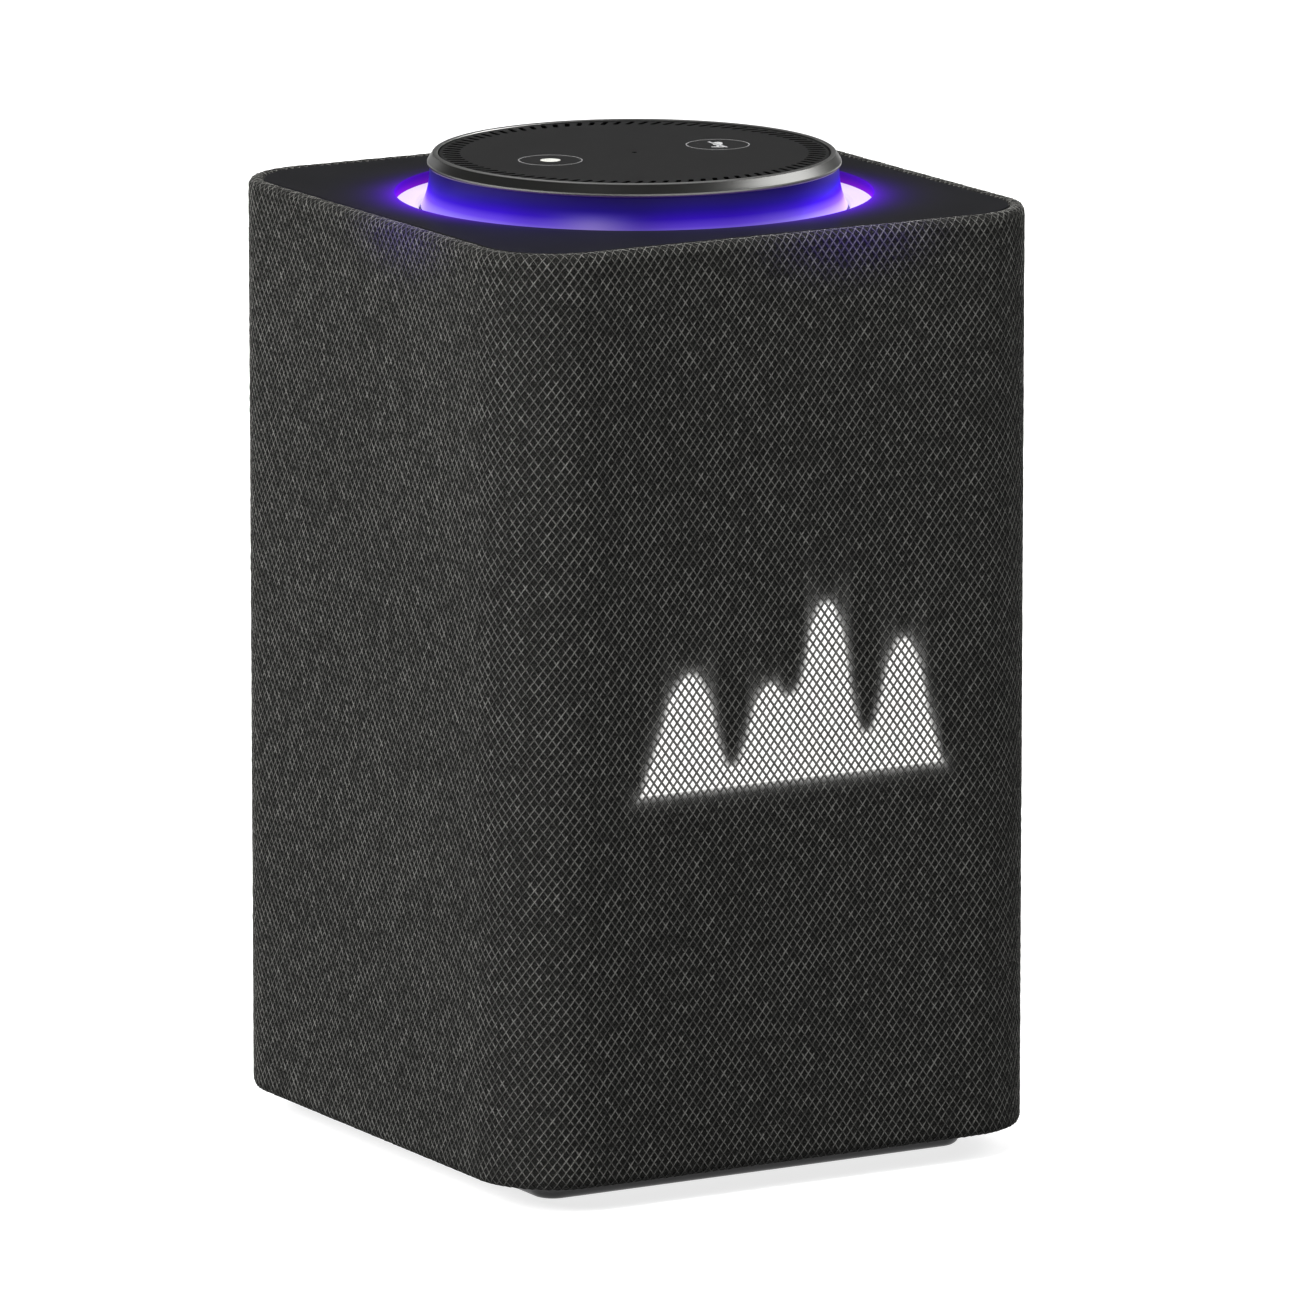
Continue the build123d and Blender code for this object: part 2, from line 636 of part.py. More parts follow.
with BuildPart() as display_diffuser:
    with BuildSketch(front_face(baffle_front + 5.9, z=display_z)):
        RectangleRounded(display_width, display_height, 2.0)
    extrude(amount=2.0)
pieces["display_diffuser"] = display_diffuser

# ---- electronics behind the box ----
board_front = box_back + 6.0
board_back = board_front + 1.6
with BuildPart() as main_board:
    block((-50, 50), (board_front, board_back), (116, 198))
pieces["main_board"] = main_board

with BuildPart() as board_shield:
    block((-22, 22), (board_back, board_back + 3.4), (136, 176))
    block((-21.6, 21.6), (board_back, board_back + 3.0), (136.4, 175.6), mode=Mode.SUBTRACT)
pieces["board_shield"] = board_shield

with BuildPart() as antennas:
    for x in (-42, 42):
        block((x - 5, x + 5), (board_back, board_back + 0.8), (182, 196))
        block((x - 1, x + 1), (board_back, board_back + 5.0), (180, 182))
pieces["antennas"] = antennas

with BuildPart() as amp_board:
    block((-50, 50), (board_front, board_back), (62, 112))
pieces["amp_board"] = amp_board

with BuildPart() as heat_sink:
    block((-34, 34), (board_back, board_back + 2.2), (67, 107))
    with BuildSketch(rear_face(board_back + 2.2, z=87)):
        with GridLocations(5.0, 0, 13, 1):
            Rectangle(1.2, 40)
    extrude(amount=6.0)
pieces["heat_sink"] = heat_sink

with BuildPart() as port_board:
    block((-40, 40), (board_front - 4, board_back - 4), (14, 58))
pieces["port_board"] = port_board

# ---- rear connections ----
socket_gap = 0.1
socket_back = board_back - 4
flange_reach = 3.0
port_panel_back = inner_half - 2.2
with BuildPart() as rear_port_panel:
    with BuildSketch(rear_face(port_panel_back, z=port_z)):
        RectangleRounded(port_panel_width + 2 * flange_reach,
                         port_panel_height + 2 * flange_reach, port_corner)
    extrude(amount=2.1)
    with BuildSketch(rear_face(port_panel_back, z=port_z)):
        RectangleRounded(port_panel_width, port_panel_height, port_corner)
    extrude(amount=port_face - port_panel_back)
    fillet(rear_port_panel.faces().sort_by(Axis.Y)[-1].edges(), 0.6)
    with BuildSketch(rear_face(port_panel_back, z=port_z)):
        with Locations((-power_x, 0)):
            Circle(power_radius + socket_gap)
        with Locations((-video_x, 0)):
            Rectangle(socket_width + 2 * socket_gap, video_height + 2 * socket_gap)
        with Locations((-network_x, 0)):
            Rectangle(socket_width + 2 * socket_gap, network_height + 2 * socket_gap)
        with Locations((-audio_x, 0)):
            Circle(audio_radius + socket_gap)
    extrude(amount=port_face - port_panel_back, mode=Mode.SUBTRACT)
pieces["rear_port_panel"] = rear_port_panel

with BuildPart() as power_jack:
    with BuildSketch(rear_face(socket_back, x=power_x, z=port_z)):
        Circle(power_radius)
    extrude(amount=port_face - socket_back)
    with BuildSketch(rear_face(port_face, x=power_x, z=port_z)):
        Circle(3.2)
        Circle(1.05, mode=Mode.SUBTRACT)
    extrude(amount=-9.5, mode=Mode.SUBTRACT)
pieces["power_jack"] = power_jack

with BuildPart() as video_socket:
    with BuildSketch(rear_face(socket_back, x=video_x, z=port_z)):
        Rectangle(socket_width, video_height)
    extrude(amount=port_face - socket_back)
    with BuildSketch(rear_face(port_face, x=video_x, z=port_z)):
        with BuildLine():
            Polyline((-7.0, 2.3), (7.0, 2.3), (7.0, -0.6), (5.2, -2.3), (-5.2, -2.3), (-7.0, -0.6),
                     close=True)
        make_face()
        with Locations((0, 0.5)):
            Rectangle(11.0, 1.0, mode=Mode.SUBTRACT)
    extrude(amount=-9.0, mode=Mode.SUBTRACT)
pieces["video_socket"] = video_socket

network_opening_width = 11.8
network_opening_height = 6.8
with BuildPart() as network_socket:
    with BuildSketch(rear_face(socket_back, x=network_x, z=port_z)):
        Rectangle(socket_width, network_height)
    extrude(amount=port_face - socket_back)
    with BuildSketch(rear_face(port_face, x=network_x, z=port_z)):
        Rectangle(network_opening_width, network_opening_height)
        with Locations((0, network_opening_height / 2 + 0.9)):
            Rectangle(6.0, 1.8)
    extrude(amount=-11.0, mode=Mode.SUBTRACT)
pieces["network_socket"] = network_socket

with BuildPart() as audio_jack:
    with BuildSketch(rear_face(socket_back, x=audio_x, z=port_z)):
        Circle(audio_radius)
    extrude(amount=port_face - socket_back)
    with BuildSketch(rear_face(port_face, x=audio_x, z=port_z)):
        Circle(jack_bore)
    extrude(amount=-12.0, mode=Mode.SUBTRACT)
pieces["audio_jack"] = audio_jack

# ---- screws ----
with BuildPart() as base_screws:
    for x in (-base_screw_at, base_screw_at):
        for y in (-base_screw_at, base_screw_at):
            place = Plane((x, y, foot_height + 2.0), x_dir=(1, 0, 0), z_dir=(0, 0, -1))
            screw(place, large_screw, 15.0, 2.8, 1.6)
pieces["base_screws"] = base_screws

with BuildPart() as chassis_screws:
    for x, y in chassis_screw_points:
        screw(Plane((x, y, chassis_top)), large_screw, 11.0, 2.8, 1.8)
    with BuildSketch(Plane.XY.offset(reflector_base)):
        with PolarLocations(pedestal_screw_circle, 3):
            Circle(2.0)
    extrude(amount=1.4)
    with BuildSketch(Plane.XY.offset(box_top + 0.2)):
        with PolarLocations(pedestal_screw_circle, 3):
            Circle(small_screw)
    extrude(amount=reflector_base - box_top - 0.2)
pieces["chassis_screws"] = chassis_screws

with BuildPart() as driver_screws:
    for height in baffle_screw_heights:
        for x in (-baffle_screw_x, baffle_screw_x):
            screw(front_face(baffle_front, x, height), small_screw, 7.0, 2.0, 1.3)
    for angle in (45, 135, 225, 315):
        across = woofer_screw_circle * math.cos(math.radians(angle))
        up = woofer_screw_circle * math.sin(math.radians(angle))
        screw(front_face(63.4, across, woofer_z + up), small_screw, 4.9, 1.8, 1.3)
        for side in (-1, 1):
            along = radiator_screw_circle * math.cos(math.radians(angle))
            rise = radiator_screw_circle * math.sin(math.radians(angle))
            place = Plane((side * 62.0, radiator_y + along, radiator_z + rise),
                          x_dir=(0, 1, 0), z_dir=(side, 0, 0))
            screw(place, small_screw, 4.8, 1.8, 1.3)
pieces["driver_screws"] = driver_screws

# ---- files ----
os.makedirs("parts", exist_ok=True)
for name, piece in pieces.items():
    piece.part.label = name
    export_step(piece.part, f"parts/{name}.step")
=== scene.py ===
import json
import math

import bmesh
import bpy
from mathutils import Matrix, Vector


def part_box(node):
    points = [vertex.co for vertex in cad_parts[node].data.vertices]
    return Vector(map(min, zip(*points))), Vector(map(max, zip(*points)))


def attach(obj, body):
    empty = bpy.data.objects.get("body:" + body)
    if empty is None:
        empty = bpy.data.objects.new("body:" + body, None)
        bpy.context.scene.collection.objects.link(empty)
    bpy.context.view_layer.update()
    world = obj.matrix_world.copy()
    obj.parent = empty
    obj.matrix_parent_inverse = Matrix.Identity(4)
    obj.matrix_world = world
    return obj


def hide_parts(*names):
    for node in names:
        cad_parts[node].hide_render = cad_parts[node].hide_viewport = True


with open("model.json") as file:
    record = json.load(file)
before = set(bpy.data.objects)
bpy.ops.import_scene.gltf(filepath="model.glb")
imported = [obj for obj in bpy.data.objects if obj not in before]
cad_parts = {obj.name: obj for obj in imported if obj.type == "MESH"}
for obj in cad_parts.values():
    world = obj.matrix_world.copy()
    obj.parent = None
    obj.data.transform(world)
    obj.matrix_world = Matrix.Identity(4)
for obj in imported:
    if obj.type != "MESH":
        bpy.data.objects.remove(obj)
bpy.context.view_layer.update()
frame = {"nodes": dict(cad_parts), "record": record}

MM = 0.001
NODES = frame["nodes"]


# ---- levels and radii, read from the frame ----
def top_of(node):
    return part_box(node)[1].z


def base_of(node):
    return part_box(node)[0].z


SLEEVE_LOW, SLEEVE_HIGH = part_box("fabric_sleeve")
BODY_HALF = SLEEVE_HIGH.x
BODY_CORNER = 20.0 * MM
SLEEVE_HEIGHT = SLEEVE_HIGH.z - SLEEVE_LOW.z
PANEL_TOP = top_of("touch_panel")
PANEL_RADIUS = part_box("touch_panel")[1].x
DECK_TOP = top_of("top_deck")
DECK_HOLE = 54.8 * MM
EDGE_TOLERANCE = 0.02 * MM
SKIRT_BASE = base_of("ring_skirt")
SKIRT_TOP = top_of("ring_skirt")
RIM_TURN_IN = 3.5 * MM
EDGE_ROUND = 1.7 * MM


# ---- small helpers for node trees ----
# places of the colour sockets on a mix node
COLOUR_A, COLOUR_B, MIXED_COLOUR = 6, 7, 2


def feed(tree, socket, value):
    """Links a socket to another, or gives it a fixed value."""
    if isinstance(value, bpy.types.NodeSocket):
        tree.links.new(value, socket)
    else:
        socket.default_value = value


def calc(tree, operation, *values, clamp=False):
    """One math node; returns its result."""
    node = tree.nodes.new("ShaderNodeMath")
    node.operation = operation
    node.use_clamp = clamp
    for socket, value in zip(node.inputs, values):
        feed(tree, socket, value)
    return node.outputs[0]


def vector_calc(tree, operation, *values, result=0):
    """One vector math node; returns its vector, or its number with result=1."""
    node = tree.nodes.new("ShaderNodeVectorMath")
    node.operation = operation
    for socket, value in zip(node.inputs, values):
        feed(tree, socket, value)
    return node.outputs[result]


def between(tree, value, low, high, from_value=0.0, to_value=1.0):
    """Smooth step of a value from one level to another."""
    node = tree.nodes.new("ShaderNodeMapRange")
    node.interpolation_type = "SMOOTHSTEP"
    for socket, given in zip(node.inputs, (value, low, high, from_value, to_value)):
        feed(tree, socket, given)
    return node.outputs["Result"]


def product(tree, first, second, *others):
    """All the values multiplied together."""
    result = calc(tree, "MULTIPLY", first, second)
    for other in others:
        result = calc(tree, "MULTIPLY", result, other)
    return result


def difference(tree, first, second):
    return calc(tree, "SUBTRACT", first, second)


def fading(tree, distance, reach):
    """1 at no distance, falling away exponentially; more than 1 for a negative distance."""
    return calc(tree, "EXPONENT", product(tree, distance, -1 / reach))


def bell(tree, distance):
    """1 at no distance, falling away on both sides."""
    return calc(tree, "EXPONENT", product(tree, product(tree, distance, distance), -1.0))


def parts_of(tree, vector):
    """The three parts of a vector."""
    node = tree.nodes.new("ShaderNodeSeparateXYZ")
    tree.links.new(vector, node.inputs[0])
    return node.outputs


def vector_of(tree, x, y, z=0.0):
    node = tree.nodes.new("ShaderNodeCombineXYZ")
    for socket, value in zip(node.inputs, (x, y, z)):
        feed(tree, socket, value)
    return node.outputs[0]


def object_place(tree):
    return tree.nodes.new("ShaderNodeTexCoord").outputs["Object"]


def noise(tree, vector, scale, detail=2.0, roughness=0.5):
    node = tree.nodes.new("ShaderNodeTexNoise")
    for socket, value in (("Vector", vector), ("Scale", scale), ("Detail", detail),
                          ("Roughness", roughness)):
        feed(tree, node.inputs[socket], value)
    return node.outputs["Fac"]


def mix_colour(tree, share, first, second):
    """Mix of two colours; each is a socket, or three numbers."""
    node = tree.nodes.new("ShaderNodeMix")
    node.data_type = "RGBA"
    feed(tree, node.inputs["Factor"], share)
    for socket, colour in ((COLOUR_A, first), (COLOUR_B, second)):
        feed(tree, node.inputs[socket], (*colour, 1.0) if isinstance(colour, tuple) else colour)
    return node.outputs[MIXED_COLOUR]


def grey(level):
    return (level, level, level)


def ramp(tree, value, stops):
    """Colour ramp with a list of (place, colour)."""
    node = tree.nodes.new("ShaderNodeValToRGB")
    feed(tree, node.inputs["Fac"], value)
    elements = node.color_ramp.elements
    while len(elements) < len(stops):
        elements.new(0.5)
    for element, (place, colour) in zip(elements, stops):
        element.position = place
        element.color = (*colour, 1.0)
    return node.outputs["Color"]


def bump(tree, shader, height, distance, strength=1.0):
    node = tree.nodes.new("ShaderNodeBump")
    tree.links.new(height, node.inputs["Height"])
    node.inputs["Distance"].default_value = distance
    node.inputs["Strength"].default_value = strength
    tree.links.new(node.outputs["Normal"], shader.inputs["Normal"])


def new_finish(name, colour, roughness, **sockets):
    """A material with its fixed shader values set; returns it, its tree and its shader."""
    material = bpy.data.materials.new(name)
    material.use_nodes = True
    shader = material.node_tree.nodes["Principled BSDF"]
    shader.inputs["Base Color"].default_value = (*colour, 1.0)
    shader.inputs["Roughness"].default_value = roughness
    for socket, value in sockets.items():
        shader.inputs[socket.replace("_", " ")].default_value = value
    return material, material.node_tree, shader


# ---- the light show: brightness and colour round the ring ----
BRIGHT_ARC = math.radians(-30)
# place, width and colour of a painted pale glow low on the skirt
PAINTED_PALE_GLOW = math.radians(-131)
PAINTED_PALE_GLOW_WIDTH = math.radians(9)
PAINTED_PALE_GLOW_COLOUR = (0.62, 0.50, 0.95)
# where and how strongly the ring's light is painted round the deck's hole
HALO_ANGLES = (math.radians(-48), math.radians(168))
HALO_REACH = 3.0 * MM
HALO_SPREAD = 0.125
HALO_POWER = 1.5
# colours of the skirt's painted glow, from its foot to its top
SKIRT_LIGHT = [(0.0, (0.36, 0.26, 1.0)), (0.16, (0.16, 0.07, 0.92)), (0.42, (0.040, 0.003, 0.66)),
               (0.72, (0.013, 0.0006, 0.33)), (1.0, (0.006, 0.0003, 0.11))]


def angle_of(tree, place):
    """Direction round the upright axis."""
    parts = parts_of(tree, place)
    return calc(tree, "ARCTAN2", parts["Y"], parts["X"])


def radius_of(tree, place):
    parts = parts_of(tree, place)
    return calc(tree, "SQRT", calc(tree, "ADD", product(tree, parts["X"], parts["X"]),
                                   product(tree, parts["Y"], parts["Y"])))


def height_of(tree, place):
    return parts_of(tree, place)["Z"]


def round_the_ring(tree, place):
    """1 at the two bright arcs of the light ring and 0 half way between them."""
    off = difference(tree, angle_of(tree, place), BRIGHT_ARC)
    return calc(tree, "MULTIPLY_ADD", calc(tree, "COSINE", product(tree, off, 2.0)), 0.5, 0.5)


def light_ring_finish():
    """Milky diffuser lit violet, almost white at its two bright arcs."""
    material, tree, shader = new_finish("light_ring_glow", (0.10, 0.08, 0.12), 0.8,
                                        Specular_IOR_Level=0.1)
    place = object_place(tree)
    lobes = between(tree, round_the_ring(tree, place), 0.35, 0.95)
    glow = mix_colour(tree, lobes, (0.40, 0.10, 1.0), (0.92, 0.78, 1.0))
    tree.links.new(glow, shader.inputs["Emission Color"])
    patches = noise(tree, place, 40.0, 1.0)
    power = calc(tree, "MULTIPLY_ADD", lobes, 0.12,
                 calc(tree, "MULTIPLY_ADD", patches, 0.12, 0.72))
    tree.links.new(power, shader.inputs["Emission Strength"])
    return material


def skirt_finish():
    """Dark glossy plastic with a painted glow that stands for the ring's light reflected up from
    its foot.
    """
    material, tree, shader = new_finish("skirt_painted_glow_plastic", (0.006, 0.004, 0.03), 0.28,
                                        Specular_IOR_Level=0.12)
    place = object_place(tree)
    height = between(tree, height_of(tree, place), SKIRT_BASE + 0.4 * MM, SKIRT_TOP)
    rise = ramp(tree, height, SKIRT_LIGHT)
    # a painted pale glow low on the skirt
    angle = angle_of(tree, place)
    pale_glow = bell(tree, product(tree, difference(tree, angle, PAINTED_PALE_GLOW), 1 / PAINTED_PALE_GLOW_WIDTH))
    pale_glow = product(tree, pale_glow, between(tree, height, 0.75, 0.10, 0.0, 0.5))
    tree.links.new(mix_colour(tree, pale_glow, rise, PAINTED_PALE_GLOW_COLOUR), shader.inputs["Emission Color"])
    # painted light: both ends bright, and one of them brighter than the other
    patches = noise(tree, vector_calc(tree, "MULTIPLY", place, (1.0, 1.0, 0.4)), 36.0, 1.5)
    off = difference(tree, angle, BRIGHT_ARC)
    side = calc(tree, "MULTIPLY_ADD", calc(tree, "COSINE", off), 0.5, 0.5)
    ends = product(tree, calc(tree, "POWER", round_the_ring(tree, place), 3.0),
                   calc(tree, "ADD", side, 0.8))
    power = calc(tree, "MULTIPLY_ADD", ends, 1.05,
                 calc(tree, "MULTIPLY_ADD", patches, 0.95, 0.08))
    tree.links.new(power, shader.inputs["Emission Strength"])
    return material


def deck_finish():
    """Fine matte charcoal plastic; the hole's wall and edge carry a painted glow of the ring's
    light.
    """
    material, tree, shader = new_finish("deck_charcoal", (0.009, 0.009, 0.010), 0.30,
                                        Specular_IOR_Level=0.01)
    place = object_place(tree)
    radius = radius_of(tree, place)
    tone = mix_colour(tree, noise(tree, place, 90.0, 3.0),
                      (0.008, 0.008, 0.009), (0.012, 0.012, 0.013))
    tree.links.new(tone, shader.inputs["Base Color"])
    bump(tree, shader, noise(tree, place, 2600.0), 0.02 * MM, 0.4)
    # the hole's wall is rougher than the top
    on_wall = between(tree, radius, DECK_HOLE + 0.35 * MM, DECK_HOLE + EDGE_TOLERANCE)
    tree.links.new(between(tree, on_wall, 0.0, 1.0, 0.30, 0.85), shader.inputs["Roughness"])
    # painted light: glow on the edge at the bright arcs, and glow on the wall all the way round
    angle = angle_of(tree, place)
    arcs = 0.0
    for halo_angle in HALO_ANGLES:
        along = calc(tree, "COSINE", difference(tree, angle, halo_angle))
        off = difference(tree, 1.0, along)
        arcs = calc(tree, "ADD", arcs, fading(tree, off, HALO_SPREAD))
    halo = fading(tree, difference(tree, radius, DECK_HOLE), HALO_REACH)
    halo = product(tree, halo, arcs, HALO_POWER)
    wall = product(tree, on_wall,
                   calc(tree, "MULTIPLY_ADD", round_the_ring(tree, place), 0.5, 0.10))
    # colour of the painted glow, from deep in the hole up to its edge
    height = between(tree, height_of(tree, place), DECK_TOP - 4.5 * MM, DECK_TOP - 0.5 * MM)
    painted_glow_colour = mix_colour(tree, height, (0.40, 0.01, 0.95), (0.085, 0.0, 0.60))
    tree.links.new(painted_glow_colour, shader.inputs["Emission Color"])
    tree.links.new(calc(tree, "ADD", halo, wall), shader.inputs["Emission Strength"])
    return material


# ---- finishes of the turned and moulded pieces ----
MARKS_SCALE = 9000.0


def ring_metal_finish():
    """Dark anodised aluminium with fine turning marks."""
    material, tree, shader = new_finish("ring_dark_anodised", grey(0.22), 0.30, Metallic=1.0,
                                        Anisotropic=0.4)
    place = object_place(tree)
    z = height_of(tree, place)
    along = vector_of(tree, product(tree, radius_of(tree, place), MARKS_SCALE),
                      product(tree, z, MARKS_SCALE), angle_of(tree, place))
    marks = noise(tree, along, 1.0)
    tone = mix_colour(tree, marks, (0.19, 0.19, 0.185), (0.26, 0.26, 0.25))
    # the crest is cut bright
    cut = between(tree, z, PANEL_TOP + 0.10 * MM, PANEL_TOP + 0.18 * MM)
    tone = mix_colour(tree, cut, tone, (0.90, 0.90, 0.88))
    tree.links.new(tone, shader.inputs["Base Color"])
    tree.links.new(calc(tree, "MULTIPLY_ADD", marks, 0.06, 0.27), shader.inputs["Roughness"])
    bump(tree, shader, marks, 0.004 * MM, 0.3)
    return material


def fine_plastic_finish(name, colour, roughness, grain_scale=2200.0, specular=0.4):
    """Moulded plastic with a fine spark-eroded grain and slight tone changes."""
    material, tree, shader = new_finish(name, colour, roughness, Specular_IOR_Level=specular)
    place = object_place(tree)
    dark = tuple(c * 0.85 for c in colour)
    light = tuple(c * 1.2 for c in colour)
    tree.links.new(mix_colour(tree, noise(tree, place, 120.0, 3.0), dark, light),
                   shader.inputs["Base Color"])
    bump(tree, shader, noise(tree, place, grain_scale), 0.04 * MM, 0.5)
    return material


def panel_finish():
    """Soft-touch black plastic whose slots are painted near black inside, as painted shade."""
    material, tree, shader = new_finish("panel_soft_touch", grey(0.011), 0.42,
                                        Specular_IOR_Level=0.12)
    place = object_place(tree)
    tone = mix_colour(tree, noise(tree, place, 140.0, 3.0), grey(0.009), grey(0.015))
    # painted shade: inside the slots the colour is near black
    below_top = calc(tree, "LESS_THAN", height_of(tree, place), PANEL_TOP - EDGE_TOLERANCE)
    off_rim = calc(tree, "LESS_THAN", radius_of(tree, place), PANEL_RADIUS - 0.4 * MM)
    slot_shade = product(tree, below_top, off_rim)
    tree.links.new(mix_colour(tree, slot_shade, tone, grey(0.001)), shader.inputs["Base Color"])
    bump(tree, shader, noise(tree, place, 3200.0), 0.02 * MM, 0.4)
    return material


def gloss_plastic_finish(name, colour, roughness, **sockets):
    """Smooth plastic whose gloss varies a little."""
    material, tree, shader = new_finish(name, colour, roughness, **sockets)
    changes = noise(tree, object_place(tree), 160.0, 3.0)
    tree.links.new(calc(tree, "MULTIPLY_ADD", changes, 0.08, roughness - 0.04),
                   shader.inputs["Roughness"])
    return material


def metal_finish(name, colour, roughness, stretch=(1.0, 1.0, 30.0)):
    """Drawn or cast metal with a faint directional grain."""
    material, tree, shader = new_finish(name, colour, roughness, Metallic=1.0)
    place = vector_calc(tree, "MULTIPLY", object_place(tree), stretch)
    grain = noise(tree, place, 900.0, 3.0)
    tree.links.new(calc(tree, "MULTIPLY_ADD", grain, 0.2, roughness - 0.1),
                   shader.inputs["Roughness"])
    bump(tree, shader, grain, 0.02 * MM, 0.3)
    return material


def circuit_board_finish():
    """Solder mask with copper runs showing faintly under it."""
    material, tree, shader = new_finish("board_solder_mask", (0.01, 0.07, 0.03), 0.35)
    node = tree.nodes.new("ShaderNodeTexBrick")
    for socket, value in (("Vector", object_place(tree)), ("Scale", 300.0),
                          ("Color1", (0.01, 0.07, 0.03, 1.0)),
                          ("Color2", (0.012, 0.085, 0.035, 1.0)),
                          ("Mortar", (0.03, 0.15, 0.06, 1.0))):
        feed(tree, node.inputs[socket], value)
    tree.links.new(node.outputs["Color"], shader.inputs["Base Color"])
    return material


def paper_cone_finish():
    """Black pulp with fibres."""
    material, tree, shader = new_finish("cone_pulp", grey(0.03), 0.85)
    fibres = noise(tree, object_place(tree), 1500.0, 4.0, 0.7)
    tree.links.new(mix_colour(tree, fibres, grey(0.02), (0.05, 0.05, 0.048)),
                   shader.inputs["Base Color"])
    bump(tree, shader, fibres, 0.1 * MM, 0.6)
    return material


def slot_finishes():
    """The finish of each material slot of the record."""
    return {
        "deck_plastic": deck_finish(),
        "plinth_plastic": fine_plastic_finish("plinth_satin", (0.034, 0.033, 0.036), 0.32,
                                              specular=0.5),
        "inner_plastic": fine_plastic_finish("inner_moulding", grey(0.02), 0.55),
        "panel_plastic": panel_finish(),
        "ring_metal": ring_metal_finish(),
        "skirt_plastic": skirt_finish(),
        "diffuser": light_ring_finish(),
        "display_diffuser": gloss_plastic_finish("display_milky", grey(0.8), 0.5),
        "circuit_board": circuit_board_finish(),
        "led": gloss_plastic_finish("diode_clear", (0.85, 0.8, 0.6), 0.2, Coat_Weight=0.4),
        "chip_metal": metal_finish("shield_tinned", (0.62, 0.62, 0.64), 0.35),
        "gear_plastic": gloss_plastic_finish("gear_acetal", (0.78, 0.78, 0.74), 0.4),
        "magnet_steel": metal_finish("magnet_zinc", (0.42, 0.42, 0.44), 0.4),
        "basket_metal": fine_plastic_finish("basket_black_coat", grey(0.025), 0.4),
        "cone_paper": paper_cone_finish(),
        "coil_copper": metal_finish("coil_copper_wire", (0.62, 0.28, 0.12), 0.3,
                                    (1.0, 40.0, 1.0)),
        "surround_rubber": fine_plastic_finish("surround_rubber_roll", grey(0.012), 0.7),
        "foot_rubber": fine_plastic_finish("foot_rubber_pad", grey(0.015), 0.8, 1400.0),
        "heat_sink_metal": metal_finish("heat_sink_extruded", (0.68, 0.68, 0.70), 0.38),
        "screw_steel": metal_finish("screw_zinc", grey(0.5), 0.3),
    }


# ---- knitted sleeve ----
CELLS_ROUND = 261
KNIT_ROW = 2.67 * MM
PIT_DEPTH = 0.50 * MM
TURN_UNDER = 11.0 * MM
TUCK_DOWN = 1.6 * MM
LIP_ROUND = 0.9 * MM
# distances from a yarn's middle line, where 1 is the step between two yarns
YARN_EDGE, YARN_SOLID = 0.195, 0.14
CREST_EDGE, CREST_SOLID = 0.11, 0.045
# share of each yarn's brightness on its crest: a painted highlight
CREST_HIGHLIGHT_SHARE = 0.88
# colours of the holes and the yarn; the holes' near black is partly the dark inside behind the
# knit and partly painted shade
KNIT_DARK, KNIT_LIGHT = (0.006, 0.006, 0.0057), (0.21, 0.208, 0.196)


def knit_finish():
    """Net of thin grey yarns over holes painted near black, partly the dark inside and partly
    painted shade, with the display's white light painted in the holes.
    """
    material, tree, shader = new_finish("knit_mesh_grey", (0.05, 0.05, 0.048), 0.85,
                                        Specular_IOR_Level=0.12)
    attribute = tree.nodes.new("ShaderNodeAttribute")
    attribute.attribute_name = "knit"
    parts = parts_of(tree, attribute.outputs["Vector"])
    u, v = parts["X"], parts["Y"]
    first = calc(tree, "ADD", u, v)
    second = difference(tree, u, v)
    from_first, from_second = [
        calc(tree, "ABSOLUTE", difference(tree, calc(tree, "FRACT", line), 0.5))
        for line in (first, second)]
    nearest = calc(tree, "MINIMUM", from_first, from_second)
    yarn = between(tree, nearest, YARN_EDGE, YARN_SOLID)
    crest_highlight = between(tree, nearest, CREST_EDGE, CREST_SOLID)
    # filaments run along each yarn
    first_hair, second_hair = [
        noise(tree, vector_of(tree, product(tree, across, 9.0), along), 1.6, 3.0, 0.6)
        for across, along in ((first, second), (second, first))]
    is_first = calc(tree, "LESS_THAN", from_first, from_second)
    hair = mix_colour(tree, is_first, second_hair, first_hair)
    strand = calc(tree, "MULTIPLY_ADD", between(tree, hair, 0.36, 0.68), 1.15, 0.18)
    # each stretch of yarn has its own tone, and a few carry painted bright glints
    random_tone = tree.nodes.new("ShaderNodeTexWhiteNoise")
    random_tone.noise_dimensions = "2D"
    cell = vector_of(tree, calc(tree, "FLOOR", first), calc(tree, "FLOOR", second))
    tree.links.new(cell, random_tone.inputs["Vector"])
    chance = random_tone.outputs["Value"]
    tone = calc(tree, "MULTIPLY_ADD", chance, 0.9, 0.45)
    tone = calc(tree, "MULTIPLY_ADD", between(tree, chance, 0.955, 0.99), 1.5, tone)
    # painted highlight: each yarn is brightest along its crest and darker on its flanks
    level = calc(tree, "MULTIPLY_ADD", crest_highlight, CREST_HIGHLIGHT_SHARE, product(tree, yarn, 1 - CREST_HIGHLIGHT_SHARE))
    level = product(tree, level, strand, tone)
    # loose inner threads show faintly in the holes
    thread_place = vector_of(tree, product(tree, u, 7.0), product(tree, v, 3.0))
    threads = noise(tree, thread_place, 2.2, 3.0)
    inner = product(tree, between(tree, threads, 0.46, 0.72), 0.26)
    level = calc(tree, "MAXIMUM", level, inner)
    # slow changes of tone over the whole sleeve
    drift = noise(tree, object_place(tree), 16.0, 3.0)
    level = product(tree, level, calc(tree, "MULTIPLY_ADD", drift, 0.5, 0.75))
    tree.links.new(mix_colour(tree, level, KNIT_DARK, KNIT_LIGHT), shader.inputs["Base Color"])
    round_yarn = between(tree, nearest, YARN_EDGE, 0.0)
    bump(tree, shader, calc(tree, "MULTIPLY_ADD", hair, 0.22, round_yarn), 0.5 * MM)
    light, colour = sleeve_light(tree, yarn, hair)
    tree.links.new(colour, shader.inputs["Emission Color"])
    tree.links.new(light, shader.inputs["Emission Strength"])
    return material


